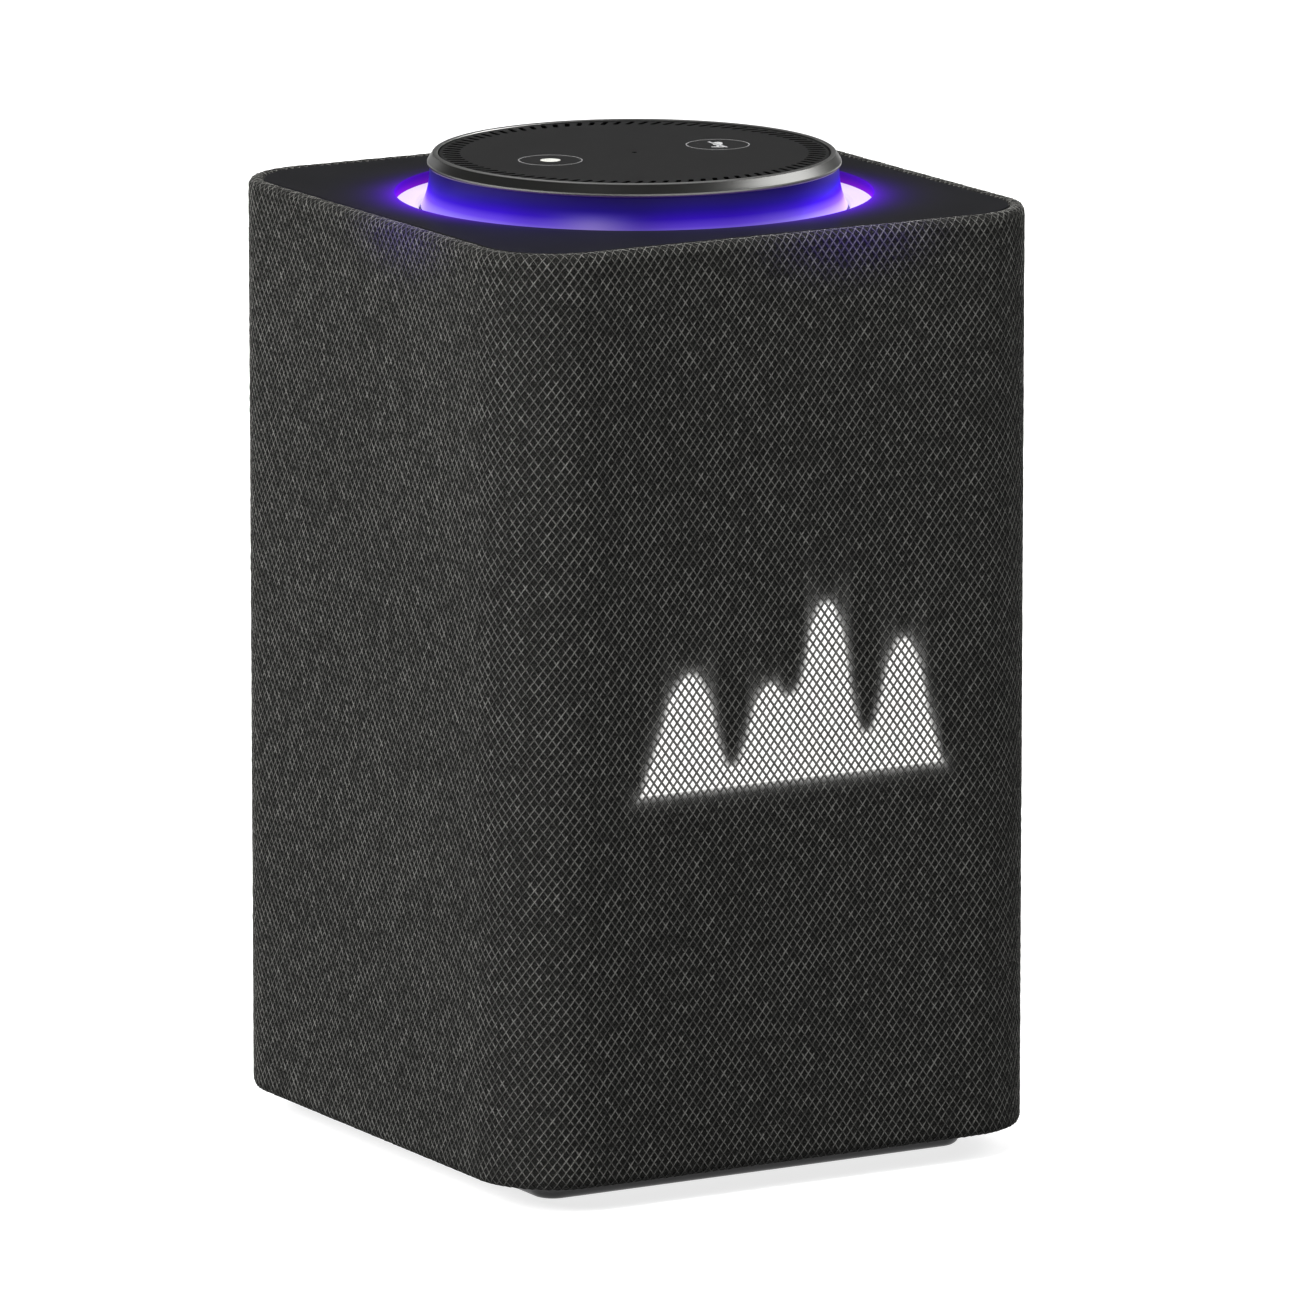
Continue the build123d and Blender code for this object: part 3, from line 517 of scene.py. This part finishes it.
# peaks and valleys of the lit shape: distance across and height, in millimetres
SHAPE_BASE = 94.8
SHAPE_POINTS = [(-39.2, 94.8), (-33.8, 109.6), (-28.8, 120.6), (-25.7, 122.2), (-22.5, 119.8),
                (-17.4, 103.2), (-15.2, 100.2), (-12.6, 103.2), (-7.4, 116.6), (-4.6, 118.0),
                (-0.8, 115.0), (1.0, 115.4), (6.0, 131.4), (9.5, 135.4), (13.0, 131.4),
                (18.0, 107.8), (20.3, 104.4), (22.6, 107.8), (27.0, 122.2), (30.0, 125.1),
                (33.0, 122.2), (37.0, 107.6), (40.7, 94.8)]
SHAPE_SPAN = 100.0
SHAPE_RISE = 50.0
# how far the light creeps past the shape's edge: the painted light in the holes, and the painted
# haze on the yarns
EDGE_CREEP = 0.65 * MM
HAZE_CREEP = 1.7 * MM
# where the ring's painted light lies on the sleeve's rim, and how far it reaches
SPILL_PLACES = ((16.0 * MM, -BODY_HALF), (-BODY_HALF, -16.0 * MM))
SPILL_REACH = 15.0 * MM
SPILL_SQUEEZE = 2.0
SPILL_COLOUR = (0.15, 0.02, 1.0)
DISPLAY_COLOUR = (1.0, 0.99, 0.97)


def shape_edge(tree, x):
    """Height of the lit shape's upper edge at a place across the front."""
    curve = tree.nodes.new("ShaderNodeFloatCurve")
    feed(tree, curve.inputs["Value"], calc(tree, "MULTIPLY_ADD", x, 1 / (SHAPE_SPAN * MM), 0.5))
    line = curve.mapping.curves[0]
    line.points[0].location = (0.0, 0.0)
    line.points[1].location = (1.0, 0.0)
    for across, height in SHAPE_POINTS:
        line.points.new(across / SHAPE_SPAN + 0.5, (height - SHAPE_BASE) / SHAPE_RISE)
    # the shape's two ends are sharp
    for end in (1, -2):
        line.points[end].handle_type = "VECTOR"
    curve.mapping.update()
    return calc(tree, "MULTIPLY_ADD", curve.outputs["Value"], SHAPE_RISE * MM, SHAPE_BASE * MM)


def inside_shape(tree, place):
    """Distance inward from the lit shape's outline, negative outside it."""
    parts = parts_of(tree, place)
    x, z = parts["X"], parts["Z"]
    step = 0.4 * MM
    rise = difference(tree, shape_edge(tree, calc(tree, "ADD", x, step)),
                      shape_edge(tree, difference(tree, x, step)))
    slope = product(tree, rise, 1 / (2 * step))
    steepness = calc(tree, "SQRT", calc(tree, "MULTIPLY_ADD", slope, slope, 1.0))
    inside = calc(tree, "DIVIDE", difference(tree, shape_edge(tree, x), z), steepness)
    for limit in (difference(tree, z, SHAPE_BASE * MM),
                  difference(tree, x, SHAPE_POINTS[0][0] * MM),
                  difference(tree, SHAPE_POINTS[-1][0] * MM, x)):
        inside = calc(tree, "MINIMUM", inside, limit)
    return difference(tree, inside, 0.7 * MM)


def shape_light(tree, place, yarn, hair):
    """White light that the display throws through the knit of the front face, painted on the knit:
    in its holes and as a haze on its yarns.
    """
    outside = product(tree, inside_shape(tree, place), -1.0)
    hole = difference(tree, 1.0, yarn)
    through = product(tree, calc(tree, "MINIMUM", fading(tree, outside, EDGE_CREEP), 1.0),
                      calc(tree, "MULTIPLY_ADD", hole, 1.12, 0.006))
    haze = product(tree, calc(tree, "MINIMUM", fading(tree, outside, HAZE_CREEP), 1.0),
                   calc(tree, "MULTIPLY_ADD", hair, 0.035, 0.012))
    front = calc(tree, "LESS_THAN", parts_of(tree, place)["Y"], -BODY_HALF + 1.0 * MM)
    return product(tree, calc(tree, "ADD", through, haze), front)


def ring_spill(tree, place, yarn):
    """Painted violet light of the ring on the sleeve's rim."""
    spill = 0.0
    squeezed = vector_calc(tree, "MULTIPLY", place, (1.0, 1.0, SPILL_SQUEEZE))
    for spill_x, spill_y in SPILL_PLACES:
        centre = (spill_x, spill_y, SPILL_SQUEEZE * SLEEVE_HIGH.z)
        away = vector_calc(tree, "DISTANCE", squeezed, centre, result=1)
        spill = calc(tree, "ADD", spill, bell(tree, product(tree, away, 1 / SPILL_REACH)))
    return product(tree, spill, calc(tree, "MULTIPLY_ADD", yarn, 0.075, 0.008))


def sleeve_light(tree, yarn, hair):
    """Strength and colour of all the light on the sleeve."""
    place = object_place(tree)
    white = shape_light(tree, place, yarn, hair)
    total = calc(tree, "ADD", white, ring_spill(tree, place, yarn))
    share = calc(tree, "DIVIDE", white, calc(tree, "ADD", total, 0.00001))
    return total, mix_colour(tree, share, SPILL_COLOUR, DISPLAY_COLOUR)


def round_corner(centre, radius, start, turn, steps=10):
    """Points of an arc in a plane, from one direction through a turn, in degrees."""
    angles = [math.radians(start + turn * step / steps) for step in range(steps + 1)]
    return [(centre[0] + radius * math.cos(a), centre[1] + radius * math.sin(a)) for a in angles]


def guide_curve(name, points, closed, upright):
    """A plain curve that the knit follows; it is removed once the knit is made."""
    curve = bpy.data.curves.new(name, "CURVE")
    curve.dimensions = "3D"
    spline = curve.splines.new("POLY")
    spline.points.add(len(points) - 1)
    for point, (a, b) in zip(spline.points, points):
        point.co = (a, 0.0, b, 1.0) if upright else (a, b, 0.0, 1.0)
    spline.use_cyclic_u = closed
    guide = bpy.data.objects.new(name, curve)
    bpy.context.scene.collection.objects.link(guide)
    return guide


def sleeve_outline():
    """The body's square outline with round corners, from the middle of the back, anticlockwise."""
    straight = BODY_HALF - BODY_CORNER
    points = [(0.0, BODY_HALF)]
    for start, (sx, sy) in ((90, (-1, 1)), (180, (-1, -1)), (270, (1, -1)), (0, (1, 1))):
        points += round_corner((sx * straight, sy * straight), BODY_CORNER, start, 90, 16)
    return points


def sleeve_section():
    """Section of the sleeve from under the body, up the side and over the rim.

    Each point is a distance outward from the body's outline and a height.
    """
    low, high = SLEEVE_LOW.z, SLEEVE_HIGH.z
    points = [(-TURN_UNDER, low)]
    points += round_corner((-EDGE_ROUND, low + EDGE_ROUND), EDGE_ROUND, -90, 90)
    points += round_corner((-EDGE_ROUND, high - EDGE_ROUND), EDGE_ROUND, 0, 90)
    lip_middle = (-RIM_TURN_IN + LIP_ROUND, high - LIP_ROUND)
    points += round_corner(lip_middle, LIP_ROUND, 90, 90)
    points.append((-RIM_TURN_IN, high - TUCK_DOWN))
    return points


def path_length(points):
    return sum(math.dist(a, b) for a, b in zip(points, points[1:]))


# places of the number sockets on a random value node
LOWEST, HIGHEST, RANDOM_NUMBER = 2, 3, 1
SEAM_MERGE = 0.12 * MM


def knit_tree(material):
    """Node tree that lays sunk diamonds in rows and wraps them round the body."""
    tree = bpy.data.node_groups.new("knit_sleeve", "GeometryNodeTree")
    inputs = {}
    for name, kind, value in (("Outline", "NodeSocketObject", None),
                              ("Section", "NodeSocketObject", None),
                              ("Cells Round", "NodeSocketInt", CELLS_ROUND),
                              ("Rows", "NodeSocketInt", 10),
                              ("Pit Depth", "NodeSocketFloat", PIT_DEPTH),
                              ("Unevenness", "NodeSocketFloat", 0.05 * MM),
                              ("Seed", "NodeSocketInt", 7)):
        socket = tree.interface.new_socket(name, in_out="INPUT", socket_type=kind)
        if value is not None:
            socket.default_value = value
        inputs[name] = socket.identifier
    tree.interface.new_socket("Knit", in_out="OUTPUT", socket_type="NodeSocketGeometry")
    entry = tree.nodes.new("NodeGroupInput")
    exit_node = tree.nodes.new("NodeGroupOutput")

    def node(kind, **values):
        made = tree.nodes.new(kind)
        for key, value in values.items():
            setattr(made, key, value)
        return made

    def given(name):
        return entry.outputs[name]

    # one diamond: a four-sided fan whose middle is sunk
    diamond = node("GeometryNodeMeshCircle", fill_type="TRIANGLE_FAN")
    diamond.inputs["Vertices"].default_value = 4
    diamond.inputs["Radius"].default_value = 0.5
    sunk = node("GeometryNodeSetPosition")
    tree.links.new(diamond.outputs[0], sunk.inputs["Geometry"])
    at = node("GeometryNodeInputPosition").outputs[0]
    is_middle = calc(tree, "LESS_THAN", vector_calc(tree, "LENGTH", at, result=1), 0.1)
    tree.links.new(is_middle, sunk.inputs["Selection"])
    sunk.inputs["Offset"].default_value = (0.0, 0.0, -1.0)

    # rows of diamonds, and the rows between them half a cell along
    joined = node("GeometryNodeJoinGeometry")
    for shift in (0.0, 0.5):
        rows = difference(tree, given("Rows"), 1.0) if shift == 0.0 else given("Rows")
        grid = node("GeometryNodeMeshGrid")
        feed(tree, grid.inputs["Size X"], difference(tree, given("Cells Round"), 1.0))
        feed(tree, grid.inputs["Size Y"], difference(tree, rows, 1.0))
        feed(tree, grid.inputs["Vertices X"], given("Cells Round"))
        feed(tree, grid.inputs["Vertices Y"], rows)
        spots = node("GeometryNodeInstanceOnPoints")
        tree.links.new(grid.outputs["Mesh"], spots.inputs["Points"])
        tree.links.new(sunk.outputs[0], spots.inputs["Instance"])
        moved = node("GeometryNodeSetPosition")
        tree.links.new(spots.outputs[0], moved.inputs["Geometry"])
        half_x = calc(tree, "MULTIPLY_ADD", difference(tree, given("Cells Round"), 1.0), 0.5,
                      shift)
        half_y = product(tree, given("Rows"), 0.5)
        tree.links.new(vector_of(tree, half_x, half_y), moved.inputs["Offset"])
        tree.links.new(moved.outputs[0], joined.inputs[0])
    real = node("GeometryNodeRealizeInstances")
    tree.links.new(joined.outputs[0], real.inputs[0])

    # the place in the knit, kept on each face's corners so that the seam stays whole
    stored = node("GeometryNodeStoreNamedAttribute", data_type="FLOAT_VECTOR", domain="CORNER")
    tree.links.new(real.outputs[0], stored.inputs["Geometry"])
    stored.inputs["Name"].default_value = "knit"
    place = node("GeometryNodeInputPosition").outputs[0]
    tree.links.new(place, stored.inputs["Value"])
    merged = node("GeometryNodeMergeByDistance")
    tree.links.new(stored.outputs[0], merged.inputs["Geometry"])
    merged.inputs["Distance"].default_value = 0.1

    # wrap: along the outline by the cell, and along the section by the row
    u, v, depth = parts_of(tree, place)
    samples = {}
    round_share = calc(tree, "FRACT", calc(tree, "DIVIDE", u, given("Cells Round")))
    row_share = calc(tree, "DIVIDE", v, given("Rows"), clamp=True)
    for name, share in (("Outline", round_share), ("Section", row_share)):
        info = node("GeometryNodeObjectInfo")
        tree.links.new(given(name), info.inputs["Object"])
        sample = node("GeometryNodeSampleCurve", mode="FACTOR")
        tree.links.new(info.outputs["Geometry"], sample.inputs["Curves"])
        tree.links.new(share, sample.inputs["Factor"])
        samples[name] = (sample.outputs["Position"], sample.outputs["Tangent"])
    outward = vector_calc(tree, "CROSS_PRODUCT", samples["Outline"][1], (0.0, 0.0, 1.0))
    section_place, section_slope = [parts_of(tree, part) for part in samples["Section"]]

    def times(vector, number):
        return vector_calc(tree, "MULTIPLY", vector, vector_of(tree, number, number, number))

    surface = vector_calc(tree, "ADD", samples["Outline"][0], times(outward, section_place["X"]))
    surface = vector_calc(tree, "ADD", surface, vector_of(tree, 0.0, 0.0, section_place["Z"]))
    facing = vector_calc(tree, "ADD", times(outward, section_slope["Z"]),
                         vector_of(tree, 0.0, 0.0, product(tree, section_slope["X"], -1.0)))
    # each diamond's middle is sunk, and each point sits a little unevenly
    random_rise = node("FunctionNodeRandomValue", data_type="FLOAT")
    feed(tree, random_rise.inputs[LOWEST], product(tree, given("Unevenness"), -2.0))
    feed(tree, random_rise.inputs[HIGHEST], 0.0)
    feed(tree, random_rise.inputs["Seed"], given("Seed"))
    rise = calc(tree, "MULTIPLY_ADD", depth, given("Pit Depth"),
                random_rise.outputs[RANDOM_NUMBER])
    surface = vector_calc(tree, "ADD", surface, times(facing, rise))
    wrapped = node("GeometryNodeSetPosition")
    tree.links.new(merged.outputs[0], wrapped.inputs["Geometry"])
    tree.links.new(surface, wrapped.inputs["Position"])
    seam = node("GeometryNodeMergeByDistance")
    tree.links.new(wrapped.outputs[0], seam.inputs["Geometry"])
    seam.inputs["Distance"].default_value = SEAM_MERGE
    smooth = node("GeometryNodeSetShadeSmooth")
    tree.links.new(seam.outputs[0], smooth.inputs["Geometry"])
    finish = node("GeometryNodeSetMaterial")
    tree.links.new(smooth.outputs[0], finish.inputs["Geometry"])
    finish.inputs["Material"].default_value = material
    tree.links.new(finish.outputs[0], exit_node.inputs[0])
    return tree, inputs


def evaluated_mesh(holder):
    """The mesh that an object's modifiers or curve give."""
    bpy.context.view_layer.update()
    depsgraph = bpy.context.evaluated_depsgraph_get()
    return bpy.data.meshes.new_from_object(holder.evaluated_get(depsgraph))


def made_by(tree, inputs, settings, name):
    """Runs a node tree on an empty mesh and returns its result as a plain mesh object."""
    carrier = bpy.data.objects.new(name, bpy.data.meshes.new(name))
    bpy.context.scene.collection.objects.link(carrier)
    modifier = carrier.modifiers.new("pattern", "NODES")
    modifier.node_group = tree
    for key, value in settings.items():
        modifier[inputs[key]] = value
    result = evaluated_mesh(carrier)
    carrier.modifiers.clear()
    carrier.data = result
    result.name = name
    return carrier


PORT_LOW, PORT_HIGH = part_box("rear_port_panel")
PORT_CORNER = 6.0 * MM
PORT_WIDTH = 72.0 * MM
PORT_HEIGHT = 40.0 * MM
PORT_Z = (PORT_LOW.z + PORT_HIGH.z) / 2
HEM_REACH = 3.0 * MM
HEM_DEPTH = 1.6 * MM


def from_port_edge(x, z):
    """Distance from the port opening's rounded outline, negative inside it, and the way out."""
    ax = abs(x) - (PORT_WIDTH / 2 - PORT_CORNER)
    az = abs(z - PORT_Z) - (PORT_HEIGHT / 2 - PORT_CORNER)
    sign_x, sign_z = (1 if x >= 0 else -1), (1 if z >= PORT_Z else -1)
    if ax > 0 and az > 0:
        reach = math.hypot(ax, az)
        return reach - PORT_CORNER, (sign_x * ax / reach, sign_z * az / reach)
    if ax > az:
        return ax - PORT_CORNER, (sign_x, 0.0)
    return az - PORT_CORNER, (0.0, sign_z)


def trim_port_opening(mesh):
    """Cuts the knit round the rear connections and tucks its edge in."""
    shape = bmesh.new()
    shape.from_mesh(mesh)
    back = BODY_HALF - 2.0 * MM
    doomed = []
    for face in shape.faces:
        middle = face.calc_center_median()
        if middle.y > back and from_port_edge(middle.x, middle.z)[0] < 0:
            doomed.append(face)
    bmesh.ops.delete(shape, geom=doomed, context="FACES")

    def at_opening(vert):
        return vert.co.y > back and abs(from_port_edge(vert.co.x, vert.co.z)[0]) < HEM_REACH

    edge = [e for e in shape.edges if e.is_boundary and all(at_opening(v) for v in e.verts)]
    for vert in {v for e in edge for v in e.verts}:
        off, (out_x, out_z) = from_port_edge(vert.co.x, vert.co.z)
        vert.co.x -= out_x * off
        vert.co.z -= out_z * off
    hem = bmesh.ops.extrude_edge_only(shape, edges=edge)["geom"]
    for vert in [g for g in hem if isinstance(g, bmesh.types.BMVert)]:
        vert.co.y -= HEM_DEPTH
    # the tucked edge is plain and dark
    knit_layer = shape.loops.layers.float_vector["knit"]
    for face in [g for g in hem if isinstance(g, bmesh.types.BMFace)]:
        for loop in face.loops:
            loop[knit_layer] = (0.0, 0.0, 0.0)
    shape.to_mesh(mesh)
    shape.free()


def knitted_sleeve():
    """The knitted sleeve, wrapped round the body's outline; on the object it is stretched over the
    lattice frame.
    """
    outline = guide_curve("sleeve_outline", sleeve_outline(), True, False)
    section_points = sleeve_section()
    section = guide_curve("sleeve_section", section_points, False, True)
    rows = round(path_length(section_points) / KNIT_ROW)
    tree, inputs = knit_tree(knit_finish())
    settings = {"Outline": outline, "Section": section, "Rows": rows}
    sleeve = made_by(tree, inputs, settings, "knitted_sleeve")
    for guide in (outline, section):
        bpy.data.objects.remove(guide)
    trim_port_opening(sleeve.data)
    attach(sleeve, "cabinet")
    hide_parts("fabric_sleeve")
    around = path_length(sleeve_outline() + [(0.0, BODY_HALF)])


# ---- turned pieces of the control ----
def eased(outline, radius, steps=3):
    """Closed outline with each corner rounded by a small arc."""
    points = []
    count = len(outline)
    for index, corner in enumerate(outline):
        before, after = Vector(outline[index - 1]), Vector(outline[(index + 1) % count])
        corner = Vector(corner)
        back, ahead = before - corner, after - corner
        reach = min(radius, 0.4 * back.length, 0.4 * ahead.length)
        start = corner + back.normalized() * reach
        end = corner + ahead.normalized() * reach
        for step in range(steps + 1):
            share = step / steps
            points.append(tuple(start.lerp(corner, share).lerp(corner.lerp(end, share), share)))
    return points


def turned(name, outline, steps=288):
    """Ring of a closed outline of radius and height, turned about the upright axis."""
    count = len(outline)
    points = []
    faces = []
    for turn in range(steps):
        angle = 2 * math.pi * turn / steps
        points += [(r * math.cos(angle), r * math.sin(angle), z) for r, z in outline]
        ahead = (turn + 1) % steps * count
        here = turn * count
        for index in range(count):
            following = (index + 1) % count
            faces.append((here + index, ahead + index, ahead + following, here + following))
    mesh = bpy.data.meshes.new(name)
    mesh.from_pydata(points, [], faces)
    shape = bmesh.new()
    shape.from_mesh(mesh)
    bmesh.ops.recalc_face_normals(shape, faces=shape.faces)
    shape.to_mesh(mesh)
    shape.free()
    mesh.shade_smooth()
    mesh.set_sharp_from_angle(angle=math.radians(35))
    piece = bpy.data.objects.new(name, mesh)
    bpy.context.scene.collection.objects.link(piece)
    return piece


# radius and height of the ring's section, in millimetres
RING_SECTION = [(43.0, 225.1), (45.15, 225.1), (45.15, 226.45), (47.2, 226.45), (47.45, 226.75),
                (47.45, 227.35), (47.2, 227.7), (46.25, 229.25), (45.85, 229.5), (45.25, 229.5),
                (45.0, 229.25), (45.0, 226.5), (43.0, 226.5)]
RING_EASE = 0.09 * MM
SKIRT_NECK = 46.9 * MM
SKIRT_FLARE = 2.0 * MM
SKIRT_BORE = 45.2 * MM
FLARE_POWER = 2.34


def turning_ring(finish):
    """Machined ring that the hand turns, with its eased edges."""
    outline = eased([(r * MM, z * MM) for r, z in RING_SECTION], RING_EASE)
    ring = turned("turning_ring", outline)
    ring.data.materials.append(finish)
    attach(ring, "volume_knob")
    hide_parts("volume_ring")


def flared_skirt(finish, steps=20):
    """Skirt under the ring, which flares out towards the light."""
    height = SKIRT_TOP - SKIRT_BASE
    shares = [step / steps for step in range(steps + 1)]
    outline = [(SKIRT_NECK + SKIRT_FLARE * share ** FLARE_POWER, SKIRT_TOP - height * share)
               for share in shares]
    outline += [(SKIRT_BORE, SKIRT_BASE), (SKIRT_BORE, SKIRT_TOP)]
    skirt = turned("flared_skirt", outline)
    skirt.data.materials.append(finish)
    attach(skirt, "volume_knob")
    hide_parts("ring_skirt")


# ---- touch signs printed on the panel ----
SIGN_X = 22.1 * MM
SIGN_RADIUS = 7.35 * MM
SIGN_LINE = 0.22 * MM
DOT_RADIUS = 2.3 * MM
PRINT_THICKNESS = 0.02 * MM
PRINT_LEVEL = PANEL_TOP + 0.6 * PRINT_THICKNESS


def printed_mark(name, outlines, material):
    """Flat raised print on the panel; each outline after the first is a hole in it."""
    curve = bpy.data.curves.new(name, "CURVE")
    curve.dimensions = "2D"
    curve.fill_mode = "BOTH"
    curve.extrude = PRINT_THICKNESS / 2
    for outline in outlines:
        spline = curve.splines.new("POLY")
        spline.points.add(len(outline) - 1)
        for point, (x, y) in zip(spline.points, outline):
            point.co = (x, y, 0.0, 1.0)
        spline.use_cyclic_u = True
    holder = bpy.data.objects.new(name, curve)
    bpy.context.scene.collection.objects.link(holder)
    mesh = evaluated_mesh(holder)
    bpy.data.objects.remove(holder)
    for vert in mesh.vertices:
        vert.co.z += PRINT_LEVEL
    mark = bpy.data.objects.new(name, mesh)
    bpy.context.scene.collection.objects.link(mark)
    mesh.materials.clear()
    mesh.materials.append(material)
    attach(mark, "cabinet")


def circle(x, radius, steps=72):
    """Outline of a circle whose middle is on the line through both signs."""
    angles = [2 * math.pi * step / steps for step in range(steps)]
    return [(x + radius * math.cos(a), radius * math.sin(a)) for a in angles]


def pill(x, y, length, width, angle, steps=8):
    """Outline of a round-ended bar."""
    half, radius = (length - width) / 2, width / 2
    points = round_corner((half, 0.0), radius, -90, 180, steps)
    points += round_corner((-half, 0.0), radius, 90, 180, steps)
    ca, sa = math.cos(angle), math.sin(angle)
    return [(x + px * ca - py * sa, y + px * sa + py * ca) for px, py in points]


def print_finish(name, colour, glow, strength):
    """Printed ink, lit faintly from below."""
    material, _, shader = new_finish(name, colour, 0.5)
    shader.inputs["Emission Color"].default_value = (*glow, 1.0)
    shader.inputs["Emission Strength"].default_value = strength
    return material


def touch_signs():
    """Two thin rings with a plain dot and a crossed-out microphone."""
    line = print_finish("sign_grey_print", grey(0.20), grey(0.5), 0.12)
    lit = print_finish("sign_lit_print", (0.3, 0.3, 0.28), (0.85, 0.85, 0.78), 0.45)
    bold = print_finish("sign_bright_print", grey(0.3), grey(0.5), 0.35)
    for name, x in (("dot_sign_ring", -SIGN_X), ("microphone_sign_ring", SIGN_X)):
        rings = [circle(x, SIGN_RADIUS), circle(x, SIGN_RADIUS - SIGN_LINE)]
        printed_mark(name, rings, line)
    printed_mark("dot_sign", [circle(-SIGN_X, DOT_RADIUS, 48)], lit)
    # the microphone stands aslant; each bar has a place along it, a length, a width and a slant
    slant = math.radians(60)
    for name, along, length, width, angle in (
            ("microphone_sign_head", 1.3, 4.4, 2.2, slant),
            ("microphone_sign_stem", -2.3, 2.4, 0.6, slant),
            ("microphone_sign_foot", -3.5, 3.0, 0.8, math.radians(-30)),
            ("microphone_sign_strike", 0.0, 9.0, 0.6, math.radians(89))):
        x, y = SIGN_X + along * MM * math.cos(slant), along * MM * math.sin(slant)
        printed_mark(name, [pill(x, y, length * MM, width * MM, angle)], bold)


# ---- stage, light and camera ----
FLOOR_HALF = 14.0
FLOOR_GLOW = 0.78
# how much of the white surroundings the object sees; the camera sees them all
REFLECTED_WORLD = 0.085
SUN_POWER = 2.9
SUN_SIZE = math.radians(45)
SUN_TILT = math.radians(6)
# name, place, height of the aim on the upright axis, size, watts, seen in glossy pieces
SOFT_BOXES = (
    ("left_softbox", (-1.8, -0.30, 1.10), 0.12, (0.7, 0.6), 43, False),
    ("corner_softbox", (-0.40, -0.40, 0.80), 0.2, (0.2, 0.2), 2.6, False),
    ("front_softbox", (0.45, -0.50, 0.62), 0.2, (0.3, 0.3), 1.2, False),
    ("right_softbox", (0.90, -0.32, 0.72), 0.22, (0.95, 0.60), 5.6, True),
    ("upper_panel", (-1.19, -0.75, 1.89), 0.22, (0.8, 0.8), 0.15, True),
    ("back_panel", (0.0, 2.10, 0.42), 0.22, (0.5, 0.5), 0.5, True),
    ("top_panel", (0.55, 1.20, 1.98), 0.22, (1.6, 1.6), 2.0, True),
    ("back_softbox", (0.9, 1.9, 1.0), 0.12, (0.8, 0.8), 18, False),
)


def stage_floor():
    """Wide white floor that glows a little, so that the shadow on it stays light."""
    mesh = bpy.data.meshes.new("floor")
    half = FLOOR_HALF
    corners = [(-half, -half, 0), (half, -half, 0), (half, half, 0), (-half, half, 0)]
    mesh.from_pydata(corners, [], [(0, 1, 2, 3)])
    floor = bpy.data.objects.new("floor", mesh)
    bpy.context.scene.collection.objects.link(floor)
    material, _, shader = new_finish("floor_white", grey(0.45), 0.9, Specular_IOR_Level=0.1)
    shader.inputs["Emission Color"].default_value = (1, 1, 1, 1)
    shader.inputs["Emission Strength"].default_value = FLOOR_GLOW
    mesh.materials.append(material)
    floor.visible_diffuse = False


def point_at(thing, aim):
    """Turns a lamp or a camera to look at a place."""
    thing.rotation_euler = (aim - thing.location).to_track_quat("-Z", "Y").to_euler()


def soft_box(name, place, aim_height, size, power, mirrored):
    """Lamp; one that is not mirrored lights the object but isn't seen in its glossy pieces."""
    data = bpy.data.lights.new(name, "AREA")
    data.shape = "RECTANGLE"
    data.size, data.size_y = size
    data.energy = power
    lamp = bpy.data.objects.new(name, data)
    bpy.context.scene.collection.objects.link(lamp)
    lamp.location = place
    point_at(lamp, Vector((0, 0, aim_height)))
    lamp.visible_glossy = mirrored


def studio_world():
    """White round the picture, and dim for everything that the object reflects."""
    world = bpy.data.worlds.new("studio")
    world.use_nodes = True
    tree = world.node_tree
    back = tree.nodes["Background"]
    back.inputs["Color"].default_value = (1, 1, 1, 1)
    seen = tree.nodes.new("ShaderNodeLightPath").outputs["Is Camera Ray"]
    tree.links.new(between(tree, seen, 0.0, 1.0, REFLECTED_WORLD, 1.0), back.inputs["Strength"])
    bpy.context.scene.world = world


def studio_light():
    scene = bpy.context.scene
    scene.view_settings.view_transform = "Standard"
    sun = bpy.data.lights.new("overhead", "SUN")
    sun.energy = SUN_POWER
    sun.angle = SUN_SIZE
    lamp = bpy.data.objects.new("overhead", sun)
    scene.collection.objects.link(lamp)
    lamp.rotation_euler = (SUN_TILT, -SUN_TILT, 0)
    lamp.visible_glossy = False
    for settings in SOFT_BOXES:
        soft_box(*settings)


CAMERA_AZIMUTH = math.radians(-29.974)
CAMERA_ELEVATION = math.radians(11.386)
CAMERA_DISTANCE = 3.1767
CAMERA_LENS = 381.6
CAMERA_AIM = Vector((3.1 * MM, -1.8 * MM, -0.3 * MM))


def camera():
    """Long lens from the front left, a little above."""
    middle = Vector((0.0, 0.0, SLEEVE_LOW.z + 0.5 * SLEEVE_HEIGHT))
    flat = math.cos(CAMERA_ELEVATION) * CAMERA_DISTANCE
    data = bpy.data.cameras.new("camera")
    data.lens = CAMERA_LENS
    data.sensor_width = 36.0
    view = bpy.data.objects.new("camera", data)
    bpy.context.scene.collection.objects.link(view)
    view.location = middle + Vector((math.sin(CAMERA_AZIMUTH) * flat,
                                     -math.cos(CAMERA_AZIMUTH) * flat,
                                     math.sin(CAMERA_ELEVATION) * CAMERA_DISTANCE))
    point_at(view, middle + CAMERA_AIM)
    bpy.context.scene.camera = view


def dress_cad_nodes(finishes):
    """Gives every carried-over node the finish of its slot."""
    for entry in frame["record"]["subparts"]:
        finish = finishes.get(entry["material_slot"])
        if finish is None:
            continue
        mesh = NODES[entry["node"]].data
        mesh.materials.clear()
        mesh.materials.append(finish)


camera()
studio_world()
studio_light()
stage_floor()
finishes = slot_finishes()
dress_cad_nodes(finishes)
turning_ring(finishes["ring_metal"])
flared_skirt(finishes["skirt_plastic"])
knitted_sleeve()
touch_signs()
